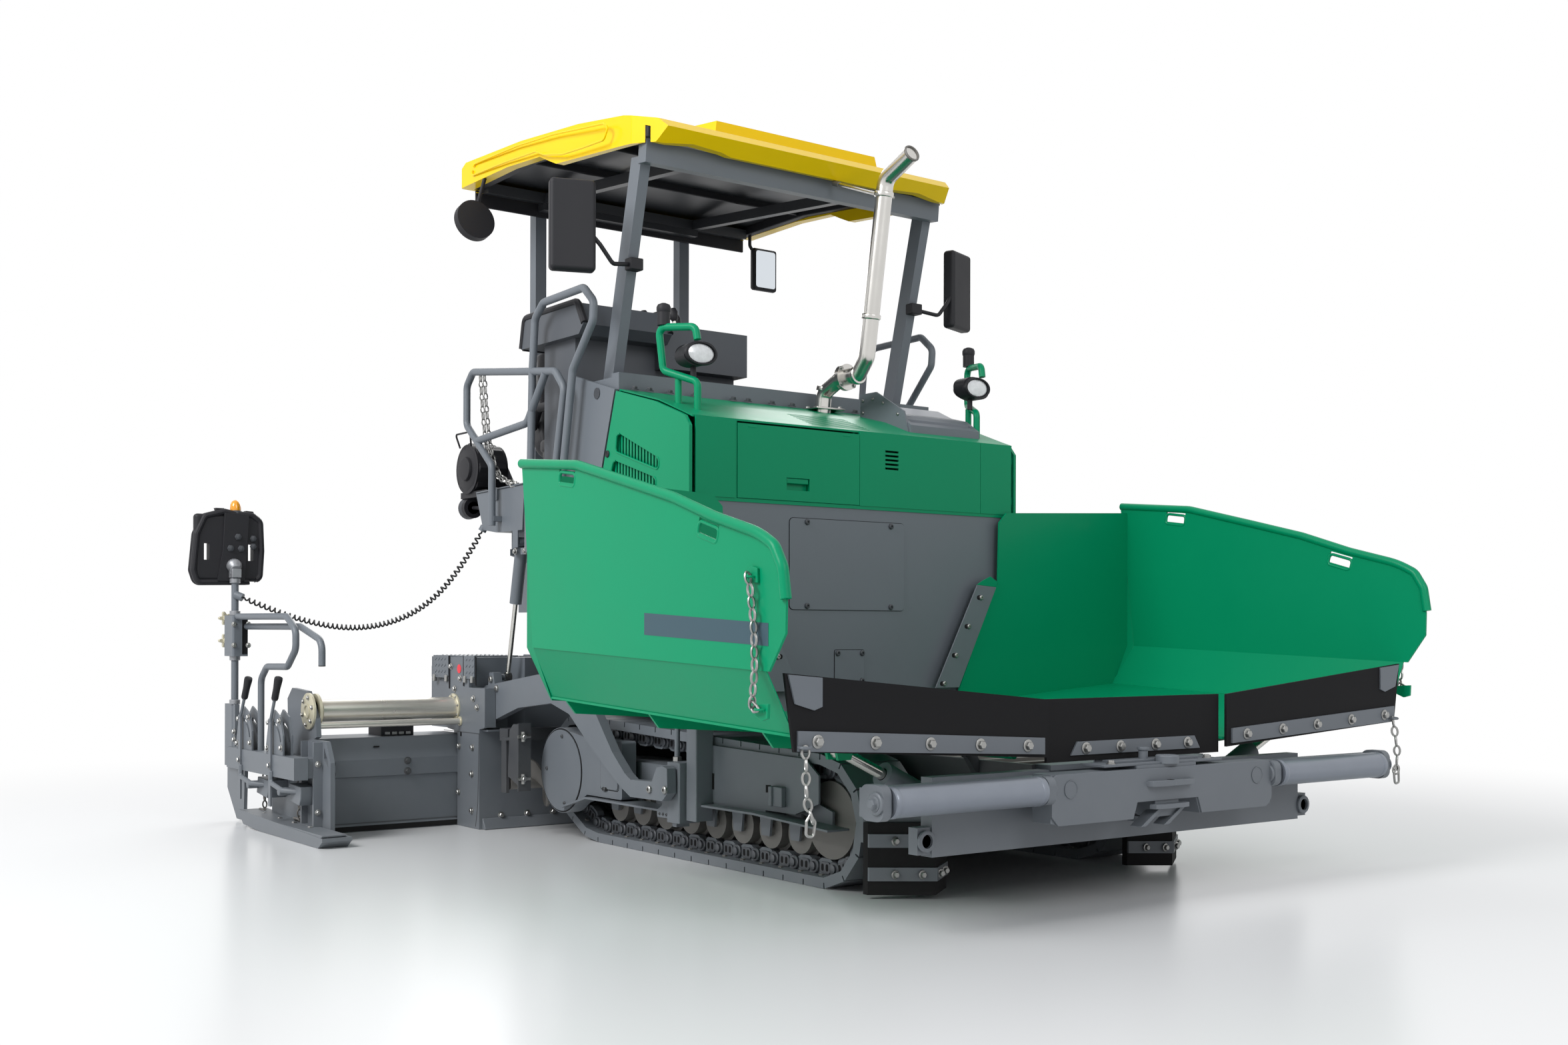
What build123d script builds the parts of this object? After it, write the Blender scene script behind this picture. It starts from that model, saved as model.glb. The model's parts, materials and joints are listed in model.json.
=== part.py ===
"""Compact tracked asphalt paver with an extending screed, as an assembly of named pieces.

Millimetres. The machine frame has +X towards the hopper, +Y to the machine's left, +Z up, and its
zero on the ground under the middle of the tracks. Every piece is modelled in that frame, left side
first, and is moved by ORIGIN_SHIFT when it is written, so that the part's origin is on the ground
under the middle of its whole length.
"""
from build123d import *
import math
import os

# ---------------------------------------------------------------- driving sizes
PLATE = 8                     # steel plate of hopper and covers

# tracks
TRACK_Y = 645                 # centre of each track
SHOE_WIDTH = 270
SHOE_PITCH = 122.7
SHOE_THICK = 34
SHOE_GAP = 7
LINK_HEIGHT = 62              # chain above the shoe
LINK_THICK = 32
LINK_SPREAD = 62              # centre of each link row from the track centre
SPROCKET_X, SPROCKET_Z, SPROCKET_R = -985, 312, 232      # radius to the shoe's outer face
IDLER_X, IDLER_R = 772, 238                              # idler stands with its shoes on the ground
REAR_ROLLER_X, REAR_ROLLER_R = -840, 170                 # rearmost roller, again to the shoe's outer face
ROLLER_R = 72
ROLLER_COUNT = 8
ROLLER_FIRST_X, ROLLER_LAST_X = -690, 590

# tractor
TUB_HALF = 440                # half width of the tub between the tracks
TUB_BOTTOM, TUB_TOP = 240, 620
TUB_REAR_X = -1180
HOOD_HALF = 880
DECK_HALF = HOOD_HALF - 18    # the decks' sides, and the inside of the grey side panels
DECK_Z = 700
WALL_X = 60                   # front face of the wall behind the hopper
HOOD_FRONT_X = 67
HOOD_SKIN = 6
HOOD_BOTTOM = 1440
HOOD_CORNER_Y = 661           # seam between the front panels and the corner panels
HOOD_REAR_X = -491
PLATFORM_Z = 1290
PLATFORM_REAR_X, PLATFORM_FRONT_X = -2050, -890
PLATFORM_HALF = HOOD_HALF + 20

# hopper wing, left one: points are (x, z) along the wall's top tube, and (y, z) of its section
WING_REAR_X, WING_FRONT_X = 92, 1556
WING_CREASE_Y = 1590
WING_FLOOR_Y = 1495
WING_HINGE_Y, WING_HINGE_Z = 484, 502
WING_TUBE_R = 17
HINGE_BAR_R = 15
HINGE_RING_R = 25
HINGE_LUG_X = (240, 700, 1200)
HINGE_LUG_THICK = 24

# push beam
CROSSBEAM_X = (1478, 1530)
CROSSBEAM_HALF = 930
PUSH_ROLLER_X, PUSH_ROLLER_Z, PUSH_ROLLER_R = 1670, 406, 47.5
PUSH_ROLLER_Y = (599, 1234)
PUSH_PIVOT_X = 1564
TOW_EYE_X, TOW_EYE_R = 1697, 13
TOW_EYE_Z = (396, 412)
LASH_Y, LASH_Z, LASH_R = 957, 258, 20

# tow arms and screed
TOW_X, TOW_Z = -30, 300       # tow point, the arms' front pivot
COVER_Y = TRACK_Y + SHOE_WIDTH / 2 + 8          # cover plates stand just outside the shoes
DRIVE_DEPTH = 68              # final drive housings, out from the cover plates
ARM_Y = (COVER_Y + 117, COVER_Y + 157)
TOW_PIN_R = 20
SCREED_FRONT_X = -1500
SCREED_REAR_X = -1732
SCREED_HALF = ARM_Y[1] + 55
SCREED_BOX_TOP = 440
HOUSING_X = (-2050, -1440)
HOUSING_Z = (452, 790)
EXT_FRONT_X, EXT_REAR_X = -1740, -2040
EXT_INNER_Y, EXT_OUTER_Y = 930, 1700
GUIDE_X, GUIDE_Z, GUIDE_R = -1768, 552, 50
ROD_X, ROD_Z, ROD_R = -1702, 490, 15
GATE_Y = 1722                 # outer face of the end gate's plate
SKI_Y = 1843
AUGER_X, AUGER_Z, AUGER_R = -1343, 222, 118
AUGER_Y = (75, 930)
AUGER_SHAFT_R = 30
SHIELD_Y = 975                # end shields beside the augers
FLIGHT_PITCH = 230
FLIGHT_THICK = 10
FLIGHT_STEPS = 14             # straight pieces of the flight's edge in one turn
LIFT_PIN = (-1350, 1318)      # upper pin of the screed lift cylinders
LIFT_EYE = (-1490, 700)       # lower eye on the tow arms
LIFT_Y = ARM_Y[0] - 43
BARREL_LENGTH = 285
POST_X, POST_Y = -2490, 1800

FRONT_END = PUSH_ROLLER_X + PUSH_ROLLER_R
REAR_END = -2640
ORIGIN_SHIFT = -(FRONT_END + REAR_END) / 2


# ---------------------------------------------------------------- small makers of form
def block(x, y, z):
    """Box between low and high corner values, each a pair."""
    size = Box(abs(x[1] - x[0]), abs(y[1] - y[0]), abs(z[1] - z[0]))
    return Pos((x[0] + x[1]) / 2, (y[0] + y[1]) / 2, (z[0] + z[1]) / 2) * size


def prism(points, axis, low, high):
    """Outline of 2D points carried along an axis: 'x' takes (y, z), 'y' (x, z), 'z' (x, y)."""
    place = {"x": lambda a, b: (low, a, b), "y": lambda a, b: (a, low, b),
             "z": lambda a, b: (a, b, low)}[axis]
    way = {"x": (1, 0, 0), "y": (0, 1, 0), "z": (0, 0, 1)}[axis]
    face = make_face(Polyline(*[place(a, b) for a, b in points], close=True))
    return extrude(face, amount=high - low, dir=way)


def bar(start, end, radius):
    """Round bar between two points."""
    start, end = Vector(*start), Vector(*end)
    run = end - start
    return Solid.make_cylinder(radius, run.length, Plane(origin=start, z_dir=run.normalized()))


def bent_tube(points, bend, radius):
    """Tube along straight runs joined by arcs; bend is one radius or a list, one for each corner."""
    path = FilletPolyline(*points, radius=bend)
    section = Plane(origin=path @ 0, z_dir=path % 0) * Circle(radius)
    return sweep(section, path=path)


def both(shape):
    """The left piece and its mirror image on the right."""
    return shape + mirror(shape, about=Plane.XZ)


def right(shape):
    return mirror(shape, about=Plane.XZ)


# ---------------------------------------------------------------- tracks
def track_loop():
    """The shoes' outer face round three wheels, as straight and round runs in order."""
    wheels = [(Vector(REAR_ROLLER_X, REAR_ROLLER_R), REAR_ROLLER_R), (Vector(IDLER_X, IDLER_R), IDLER_R),
              (Vector(SPROCKET_X, SPROCKET_Z), SPROCKET_R)]
    normals = []
    for (here, r_here), (there, r_there) in zip(wheels, wheels[1:] + wheels[:1]):
        span = there - here
        normals.append(math.atan2(span.Y, span.X) - math.acos((r_here - r_there) / span.length))
    runs = []
    for i, (centre, radius) in enumerate(wheels):
        start, end = normals[i - 1], normals[i]
        while end < start:
            end += 2 * math.pi
        after, r_after = wheels[(i + 1) % 3]
        out = Vector(math.cos(end), math.sin(end))
        runs.append(("arc", centre, radius, start, end))
        runs.append(("line", centre + out * radius, after + out * r_after))
    return runs


def run_length(run):
    if run[0] == "line":
        return (run[2] - run[1]).length
    return run[2] * (run[4] - run[3])


def loop_point(runs, along, depth):
    """Point on the loop at a distance along it, moved inwards by depth."""
    for run in runs:
        length = run_length(run)
        if along <= length + 1e-9:
            break
        along -= length
    if run[0] == "line":
        way = (run[2] - run[1]).normalized()
        point = run[1] + way * along
        inward = Vector(-way.Y, way.X)
    else:
        angle = run[3] + along / run[2]
        out = Vector(math.cos(angle), math.sin(angle))
        point = run[1] + out * run[2]
        inward = out * -1
    spot = point + inward * depth
    return (spot.X, spot.Y)


def make_track():
    """One closed track, its shoes and two rows of links in the outline, as a single piece."""
    runs = track_loop()
    total = sum(run_length(run) for run in runs)
    count = round(total / SHOE_PITCH)
    pitch = total / count
    shoes, band, links = [], [], []
    for i in range(count):
        start = i * pitch + SHOE_GAP / 2
        end = (i + 1) * pitch - SHOE_GAP / 2
        shoes += [loop_point(runs, start, SHOE_THICK * 0.6), loop_point(runs, start, 0),
                  loop_point(runs, end, 0), loop_point(runs, end, SHOE_THICK * 0.6)]
        band.append(loop_point(runs, i * pitch, SHOE_THICK + 4))
        top = SHOE_THICK + LINK_HEIGHT
        links += [loop_point(runs, (i + 0.04) * pitch, top - 18), loop_point(runs, (i + 0.30) * pitch, top),
                  loop_point(runs, (i + 0.70) * pitch, top), loop_point(runs, (i + 0.96) * pitch, top - 18)]
    low, high = TRACK_Y - SHOE_WIDTH / 2, TRACK_Y + SHOE_WIDTH / 2
    track = prism(shoes, "y", low, high) - prism(band, "y", low, high)
    outer = [loop_point(runs, i * pitch, SHOE_THICK - 6) for i in range(count)]
    for side in (-1, 1):
        middle = TRACK_Y + side * LINK_SPREAD
        row = (middle - LINK_THICK / 2, middle + LINK_THICK / 2)
        track += prism(outer, "y", *row) - prism(links, "y", *row)
    return track


AXLE_HALF = 103               # half length of the wheels' axles, and where the frame's plates begin
FRAME_HALF = 113
FRAME_Z = (262, 365)
DEFLECTOR_TIP_Y = TRACK_Y - 35


def make_rollers():
    """Sprocket, idler and road rollers of one track, each on its axle."""
    chain = SHOE_THICK + LINK_HEIGHT + 2
    inner = LINK_SPREAD - LINK_THICK / 2 - 3
    wheels = None
    places = [(SPROCKET_X, SPROCKET_Z, SPROCKET_R - chain), (IDLER_X, IDLER_R, IDLER_R - chain)]
    places += [(x, chain + ROLLER_R, ROLLER_R) for x in roller_places()]
    for x, z, radius in places:
        wheel = bar((x, TRACK_Y - 88, z), (x, TRACK_Y + 88, z), radius)
        wheel += bar((x, TRACK_Y - inner, z), (x, TRACK_Y + inner, z), radius + 14)
        wheel += bar((x, TRACK_Y - AXLE_HALF, z), (x, TRACK_Y + AXLE_HALF, z), 26)
        wheels = wheel if wheels is None else wheels + wheel
    return both(wheels)


def roller_places():
    step = (ROLLER_LAST_X - ROLLER_FIRST_X) / (ROLLER_COUNT - 1)
    return [ROLLER_FIRST_X + i * step for i in range(ROLLER_COUNT)]


def make_track_frames():
    """Track frames: box beam with its roller saddles, cover plates, final drive housing, tow guide."""
    near, far = TRACK_Y - FRAME_HALF, TRACK_Y + FRAME_HALF
    side = block((-780, 610), (near, far), FRAME_Z)
    for y0, y1 in ((near, TRACK_Y - AXLE_HALF), (TRACK_Y + AXLE_HALF, far)):
        for x in roller_places():
            side += prism([(x - 42, FRAME_Z[0] + 2), (x - 26, 148), (x + 26, 148),
                           (x + 42, FRAME_Z[0] + 2)], "y", y0, y1)
        side += prism([(560, 268), (560, 340), (IDLER_X + 40, 272), (IDLER_X + 40, 205)], "y", y0, y1)
    side += prism([(-770, 365), (-770, 262), (SPROCKET_X - 40, 275), (SPROCKET_X - 40, 350)], "y",
                  near, TRACK_Y - AXLE_HALF)
    for x in (-560, 40, 560):
        side += block((x - 40, x + 40), (TUB_HALF, near + 2), (285, 345))
    cover = prism([(110, 250), (640, 250), (780, 300), (780, 400), (700, 455), (110, 470)], "y", COVER_Y,
                  COVER_Y + PLATE)
    cover += prism([(110, 235), (455, 235), (900, 215), (900, 222), (455, 243), (110, 243)], "y", far - 5,
                   COVER_Y + 62)
    cover += block((110, 455), (far - 3, COVER_Y + 4), (240, 262))
    cover += block((110, 455), (far - 6, COVER_Y + 4), (262, 280))
    return both(side + cover + make_final_drive() + make_tow_guide() + make_deflector_mount())


def make_final_drive():
    """Rounded housing over the drive motor, tapering to a box, with the shelf below it."""
    y0, y1 = COVER_Y, COVER_Y + DRIVE_DEPTH
    far = TRACK_Y + FRAME_HALF
    drum = bar((SPROCKET_X, y0, 302), (SPROCKET_X, y1, 302), 187)
    drum += bar((SPROCKET_X, y1 - 1, 302), (SPROCKET_X, y1 + 4, 302), 178)
    neck = prism([(-1010, 487), (-760, 455), (-760, 212), (-940, 120)], "y", y0, y1)
    box_part = fillet(block((-765, -470), (y0, y1), (212, 455)).edges().filter_by(Axis.Y), 12)
    box_part += fillet(block((-640, -500), (y1 - 1, y1 + 4), (250, 420)).edges().filter_by(Axis.Y), 14)
    hub = bar((SPROCKET_X, TRACK_Y + AXLE_HALF, SPROCKET_Z), (SPROCKET_X, y0 + 5, SPROCKET_Z), 80)
    shelf = prism([(-740, 205), (-100, 205), (-100, 197), (-740, 197)], "y", far - 8, y1 + 22)
    shelf += prism([(-950, 150), (-740, 205), (-740, 197), (-950, 141)], "y", y0, y1 + 22)
    post = block((-640, -560), (far - 4, y0 + 4), (200, 350))
    return drum + neck + box_part + hub + shelf + post


def make_tow_guide():
    """Upright guide post of the tow point, standing on the track frame, and its chromed rod."""
    far = TRACK_Y + FRAME_HALF
    rod_y = COVER_Y + 50
    post = fillet(block((38, 108), (COVER_Y + 2, COVER_Y + 84), (178, 556)).edges().filter_by(Axis.Z), 6)
    post += block((38, 108), (far - 4, COVER_Y + 10), (268, 340))
    rod = bar((-77, rod_y, 150), (-77, rod_y, DECK_Z), 11)
    foot = block((-92, -62), (far - 4, rod_y + 12), (262, 278))
    foot += block((-92, -62), (COVER_Y + 2, rod_y + 12), (140, 156))
    foot += block((-92, -62), (COVER_Y + 2, COVER_Y + 10), (140, 278))
    return post + rod + foot


def make_deflector_mount():
    """Bracket ahead of the track that holds the rubber deflector, and the deflector's clamp bars."""
    front = block((1020, CROSSBEAM_X[0]), (TUB_HALF, TUB_HALF + 22), (252, 400))
    faces = deflector_faces(0, -20, 190, 300)
    bars = deflector_faces(25, 33, 62, 108) + deflector_faces(25, 33, 176, 222)
    arm = block((1040, 1110), (TUB_HALF + 20, DEFLECTOR_TIP_Y - 10), (262, 300))
    return front + faces + arm + bars


def deflector_faces(near, far, low, high):
    """Two upright faces that meet in an edge ahead of the track, between two depths and heights."""
    slope = math.tan(math.radians(36))
    tip_y, tip_x = DEFLECTOR_TIP_Y, 1168
    reach = 188
    points = []
    for depth, order in ((near, 1), (far, -1)):
        row = [(tip_x - slope * reach + depth, tip_y + reach), (tip_x + depth, tip_y),
               (tip_x - slope * reach * 0.75 + depth, tip_y - reach * 0.75)]
        points += row[::order]
    return prism(points, "z", low, high)


def make_deflectors():
    """Rubber deflectors that sweep spilled mix away in front of the tracks."""
    return both(deflector_faces(0, 25, 14, 260))


# ---------------------------------------------------------------- tractor body
def make_chassis():
    """Tub between the tracks, open at both ends for the conveyor, and the decks above the tracks."""
    wall_back = WALL_X - 20
    frame = block((TUB_REAR_X, wall_back), (TUB_HALF - 20, TUB_HALF), (TUB_BOTTOM, TUB_TOP))
    frame += block((wall_back, CROSSBEAM_X[0]), (TUB_HALF - 20, TUB_HALF), (TUB_BOTTOM, 470))
    frame = both(frame)
    frame += block((TUB_REAR_X, CROSSBEAM_X[0]), (-TUB_HALF, TUB_HALF), (TUB_BOTTOM, TUB_BOTTOM + 20))
    frame += block((TUB_REAR_X, wall_back), (-TUB_HALF, TUB_HALF), (TUB_TOP - 15, TUB_TOP))
    deck = block((-1000, wall_back), (TUB_HALF - 20, DECK_HALF), (DECK_Z, DECK_Z + 12))
    deck += block((-1000, -980), (TUB_HALF - 20, DECK_HALF), (DECK_Z, PLATFORM_Z - 30))
    deck += block((-1000, wall_back), (DECK_HALF - 12, DECK_HALF), (DECK_Z, PLATFORM_Z - 32))
    deck += block((PLATFORM_FRONT_X + 2, wall_back), (DECK_HALF - 12, DECK_HALF),
                  (PLATFORM_Z - 33, HOOD_BOTTOM - 14))
    deck += block((-1000, wall_back), (TUB_HALF - 20, TUB_HALF - 5), (TUB_TOP - 10, DECK_Z + 12))
    frame += both(deck)
    frame += block((-1000, -980), (-TUB_HALF, TUB_HALF), (TUB_TOP - 10, PLATFORM_Z - 30))
    rear = block((TUB_REAR_X, -985), (TUB_HALF - 20, TUB_HALF), (TUB_TOP - 10, PLATFORM_Z - 30))
    rear += block((TUB_REAR_X, TUB_REAR_X + 12), (TUB_HALF - 160, TUB_HALF),
                  (TUB_TOP - 10, PLATFORM_Z - 30))
    under = PLATFORM_Z - 30
    brace = prism([(TUB_REAR_X, under - 90), (TUB_REAR_X, under), (-1960, under), (-1960, under - 20)], "y",
                  TUB_HALF - 20, TUB_HALF)
    return frame + both(rear + brace + make_hinge_lugs())


def make_hinge_lugs():
    """Lugs on the tub's side, each with a ring round the wing's hinge bar."""
    line = [(TUB_HALF - 4, 404), (WING_HINGE_Y + 10, WING_HINGE_Z - 20),
            (WING_HINGE_Y - 10, WING_HINGE_Z + 20),
            (TUB_HALF - 4, 468)]
    lugs = None
    for x in HINGE_LUG_X:
        lug = prism(line, "x", x, x + HINGE_LUG_THICK)
        lug += bar((x, WING_HINGE_Y, WING_HINGE_Z), (x + HINGE_LUG_THICK, WING_HINGE_Y, WING_HINGE_Z),
                   HINGE_RING_R)
        lug -= bar((x - 2, WING_HINGE_Y, WING_HINGE_Z),
                   (x + HINGE_LUG_THICK + 2, WING_HINGE_Y, WING_HINGE_Z),
                   HINGE_BAR_R + 0.4)
        lugs = lug if lugs is None else lugs + lug
    return lugs


def make_front_wall():
    """Plain grey wall between the hopper and the engine, with two bolted covers."""
    half = DECK_HALF - 12
    wall = block((WALL_X - 20, WALL_X), (-half, half), (560, HOOD_BOTTOM - 14))
    wall += fillet(block((WALL_X - 2, WALL_X + 4), (-390, 220), (1003, 1374)).edges().filter_by(Axis.X), 18)
    wall += fillet(block((WALL_X - 2, WALL_X + 4), (-156, 1), (694, 837)).edges().filter_by(Axis.X), 8)
    return wall


HOOD_LINE = [(HOOD_REAR_X, 1918), (-185, 1842), (1, 1774), (HOOD_FRONT_X, 1746)]
DOOR_HINGE_X, DOOR_HINGE_Y = HOOD_FRONT_X - 15, HOOD_HALF - 8
KNUCKLE_R = 8
FLAP_HINGE_X, FLAP_HINGE_Z = HOOD_FRONT_X - 7, 1727


def under_hood():
    """All that lies under the hood's top face, to seat pieces on it."""
    return prism([(HOOD_REAR_X - 200, 1918)] + HOOD_LINE + [(HOOD_FRONT_X, 1500),
                                                            (HOOD_REAR_X - 200, 1500)], "y",
                 -1000, 1000)


def make_hood_shell():
    """Sloping hood top, the fixed front panels and corners, and the bulkhead at the hood's rear."""
    half = HOOD_HALF - 20
    lower = [(x, z - HOOD_SKIN) for x, z in HOOD_LINE]
    top = prism(HOOD_LINE[:-1] + [(HOOD_FRONT_X - 8, 1754)] + [(HOOD_FRONT_X - 8, 1746)] + lower[-2::-1],
                "y", -half, half)
    for i in range(9):
        x = -150 + i * 21
        top -= block((x, x + 10), (-250, 60), (1700, 1900))
    front = block((HOOD_FRONT_X - HOOD_SKIN, HOOD_FRONT_X), (HOOD_CORNER_Y + 1, half - 10),
                  (HOOD_BOTTOM, 1752))
    front = both(front)
    front += block((HOOD_FRONT_X - HOOD_SKIN, HOOD_FRONT_X), (-28, HOOD_CORNER_Y - 1), (HOOD_BOTTOM, 1752))
    for i in range(5):
        z = 1600 + i * 18
        front -= block((HOOD_FRONT_X - 20, HOOD_FRONT_X + 5), (110, 184), (z, z + 9))
    front += both(block((20, HOOD_FRONT_X - 3), (HOOD_CORNER_Y - 8, HOOD_CORNER_Y + 8),
                        (HOOD_BOTTOM, 1748)))
    front += block((20, HOOD_FRONT_X - 3), (-28, -12), (HOOD_BOTTOM, 1748))
    back = block((HOOD_REAR_X, HOOD_REAR_X + 6), (-half, half), (HOOD_BOTTOM, 1914))
    sill = both(block((HOOD_REAR_X, HOOD_FRONT_X - 3), (half - 40, half - 16),
                      (HOOD_BOTTOM - 14, HOOD_BOTTOM)))
    sill += block((20, HOOD_FRONT_X - 3), (16 - half, half - 16), (HOOD_BOTTOM - 14, HOOD_BOTTOM))
    return top + front + back + sill


def make_hood_flap():
    """Lift-up flap in the right half of the hood's front, with its recessed handle."""
    flap = block((HOOD_FRONT_X - HOOD_SKIN, HOOD_FRONT_X), (10 - HOOD_CORNER_Y, -30),
                 (HOOD_BOTTOM + 2, 1738))
    flap -= block((HOOD_FRONT_X - 10, HOOD_FRONT_X + 5), (-409, -293), (1485, 1535))
    flap += block((HOOD_FRONT_X - 30, HOOD_FRONT_X - HOOD_SKIN), (-415, -287), (1479, 1541))
    flap -= block((HOOD_FRONT_X - 24, HOOD_FRONT_X + 5), (-409, -293), (1485, 1535))
    for y in (-600, -120):
        flap += bar((FLAP_HINGE_X, y, FLAP_HINGE_Z), (FLAP_HINGE_X, y + 40, FLAP_HINGE_Z), KNUCKLE_R)
    return flap


# slanted vents of the side doors, each by its corners (x, z): upper rear, upper front, lower front, lower rear
DOOR_VENTS = [[(-480, 1738), (-150, 1600), (-150, 1552), (-492, 1656)],
              [(-506, 1624), (-172, 1524), (-172, 1482), (-545, 1540)]]


def make_side_door():
    """Left side door of the engine bay: folded panel with two slanted rounded vents over a grille."""
    low = HOOD_BOTTOM + 4
    line = [(-486, 1908), (-185, 1832), (1, 1766), (34, 1753), (HOOD_FRONT_X, 1712), (HOOD_FRONT_X, low),
            (-640, low)]
    door = prism(line, "y", HOOD_HALF - 14, HOOD_HALF)
    for slot in DOOR_VENTS:
        hole = prism(slot, "y", HOOD_HALF - 30, HOOD_HALF + 10)
        door -= fillet(hole.edges().filter_by(Axis.Y), 15)
    grille = block((-534, -120), (HOOD_HALF - 17, HOOD_HALF - 13), (1470, 1748))
    for i in range(17):
        x = -526 + i * 24
        grille -= block((x, x + 11), (HOOD_HALF - 20, HOOD_HALF - 10), (1480, 1740))
    for z in (1490, 1670):
        door += bar((DOOR_HINGE_X, DOOR_HINGE_Y, z), (DOOR_HINGE_X, DOOR_HINGE_Y, z + 30), KNUCKLE_R)
    return door + grille


def make_side_panels():
    """Grey side panels behind the doors, with the cover strip in front of the platform."""
    line = [(-869, 2021), (-497, 1917), (-655, HOOD_BOTTOM + 4), (-655, 1300), (-960, 1300)]
    panels = both(prism(line, "y", DECK_HALF, HOOD_HALF))
    half = DECK_HALF - 4
    panels += block((-600, -500), (-half, half), (1905, 1925))
    panels += block((-560, -500), (-half, half), (1925, 1990))
    panels += block((-620, -606), (-half + 10, half - 10), (1300, 1915))
    panels += both(block((-620, -606), (half - 12, DECK_HALF + 2), (1600, 1880)))
    return panels


def make_engine():
    return block((-940, -640), (-380, 380), (740, 1180)) + block((-560, -420), (-360, 360), (740, 1400))


def make_conveyor():
    """Conveyor floor with its two rows of cross bars, running from the hopper to the augers."""
    floor = block((TUB_REAR_X + 10, 1450), (-TUB_HALF + 24, TUB_HALF - 24), (440, 450))
    bars = None
    for side in (-1, 1):
        for i in range(17):
            x = -1140 + i * 155
            one = block((x, x + 34), (min(side * 20, side * 400), max(side * 20, side * 400)), (449, 468))
            bars = one if bars is None else bars + one
    legs = both(block((TUB_REAR_X + 10, 1450), (TUB_HALF - 40, TUB_HALF - 24), (TUB_BOTTOM + 20, 442)))
    return floor + bars + legs


EXHAUST_LINE = [(-420, 150, 1860), (-405, 150, 1985), (-290, 150, 2033), (-165, 150, 2034),
                (-107, 150, 2100),
                (18, 150, 2846), (185, 150, 2916)]
EXHAUST_BENDS = [50, 60, 40, 40, 60]
EXHAUST_R = 36


def make_exhaust():
    """Exhaust pipe with its flanged elbow, leaning forward past the roof, and the stay rod."""
    pipe = bent_tube(EXHAUST_LINE, EXHAUST_BENDS, EXHAUST_R)
    pipe += bar((-262, 150, 2033.3), (-238, 150, 2033.5), EXHAUST_R + 22)
    pipe += bar((0, 150, 2780), (-330, 150, 2905), 8)
    return pipe - under_hood()


def make_air_cowl():
    """Louvred grey cowl on the hood's left half with its upright side plate."""
    line = [(-330, 1872), (-330, 1925), (-100, 1868), (-20, 1815), (-20, 1780), (-185, 1840)]
    cowl = prism(line, "y", 330, 735)
    for i in range(4):
        x = -300 + i * 66
        cowl -= prism([(x, 1990), (x + 12, 1990), (x + 60, 1850 - i * 8), (x + 40, 1850 - i * 8)], "y",
                      350, 715)
    plate = prism([(-360, 1880), (-360, 1985), (-250, 1985), (-60, 1880), (-30, 1785), (-185, 1840)], "y",
                  322, 330)
    return cowl + plate - under_hood()


# ---------------------------------------------------------------- platform and roof
def make_platform():
    """Operator's platform: floor, rear steps, storage boxes and the stand for console and seats."""
    plan = [(PLATFORM_REAR_X, 480), (-1850, 600), (-1400, PLATFORM_HALF), (PLATFORM_FRONT_X, PLATFORM_HALF)]
    plan += [(x, -y) for x, y in reversed(plan)]
    floor = fillet(prism(plan, "z", PLATFORM_Z - 30, PLATFORM_Z).edges().filter_by(Axis.Z), 25)
    floor += both(block((PLATFORM_FRONT_X - 5, -640), (620, DECK_HALF - 14), (PLATFORM_Z - 30, PLATFORM_Z)))
    notch_x = (LIFT_PIN[0] - 70, LIFT_PIN[0] + 60)
    floor -= both(block(notch_x, (LIFT_Y - 44, 1000), (1200, 1368)))
    tank = prism([(-1675, 1390), (-1750, 1564), (-1260, 1575), (-1280, 1372), (-1540, 1372)], "y", 730,
                 PLATFORM_HALF - 2)
    tank += block((-1540, -1290), (730, LIFT_Y - 44), (PLATFORM_Z - 2, 1374))
    for y in (LIFT_Y - 44, LIFT_Y + 31):
        ear = block((LIFT_PIN[0] - 26, LIFT_PIN[0] + 26), (y, y + (11 if y < LIFT_Y else 5)),
                    (LIFT_PIN[1] - 24, 1374))
        tank += ear
    tank += bar((LIFT_PIN[0], LIFT_Y - 40, LIFT_PIN[1]), (LIFT_PIN[0], LIFT_Y + 34, LIFT_PIN[1]), 10)
    cabinet = block((-1255, -1002), (640, PLATFORM_HALF), (PLATFORM_Z - 5, 1560))
    frame = block((-1400, -1002), (-642, 642), (PLATFORM_Z - 5, 1560))
    step = block((-2230, -2045), (-420, 420),
                 (1020, 1040)) + both(block((-2230, -2040), (410, 425), (1010, 1290)))
    start, after = Vector(*CORD_ROUTE[0]), Vector(*CORD_ROUTE[1])
    way = (after - start).normalized()
    gland = bar(tuple(start - way * 26), tuple(start), CORD_R + 4)
    return floor + both(tank + cabinet) + frame + step + gland


def make_console():
    """Operator's console: padded hood over the controls, centre box and column."""
    hood_line = [(-1330, 2195), (-1300, 2330), (-820, 2330), (-760, 2230), (-800, 2190)]
    console = prism(hood_line, "y", -880, -430)
    console += block((-1260, -820), (-432, 20), (2090, 2285))
    console += block((-1180, -900), (-840, 0), (1560, 2200))
    return console


def make_seat(y):
    """Seat with a squab, a backrest and two side pads, on its box."""
    half = SEAT_HALF
    pad = fillet(block((-1690, -1215), (y - half, y + half), (1690, 1800)).edges(), 30)
    back = prism([(-1780, 2290), (-1690, 2300), (-1600, 1760), (-1700, 1760)], "y", y - half + 8, y + half - 8)
    stand = block((-1640, -1420), (y - 150, y + 150), (PLATFORM_Z, 1700))
    return pad + back + stand


SEAT_Y, SEAT_HALF = 400, 215


def make_seats():
    return make_seat(-SEAT_Y) + make_seat(SEAT_Y)


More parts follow.
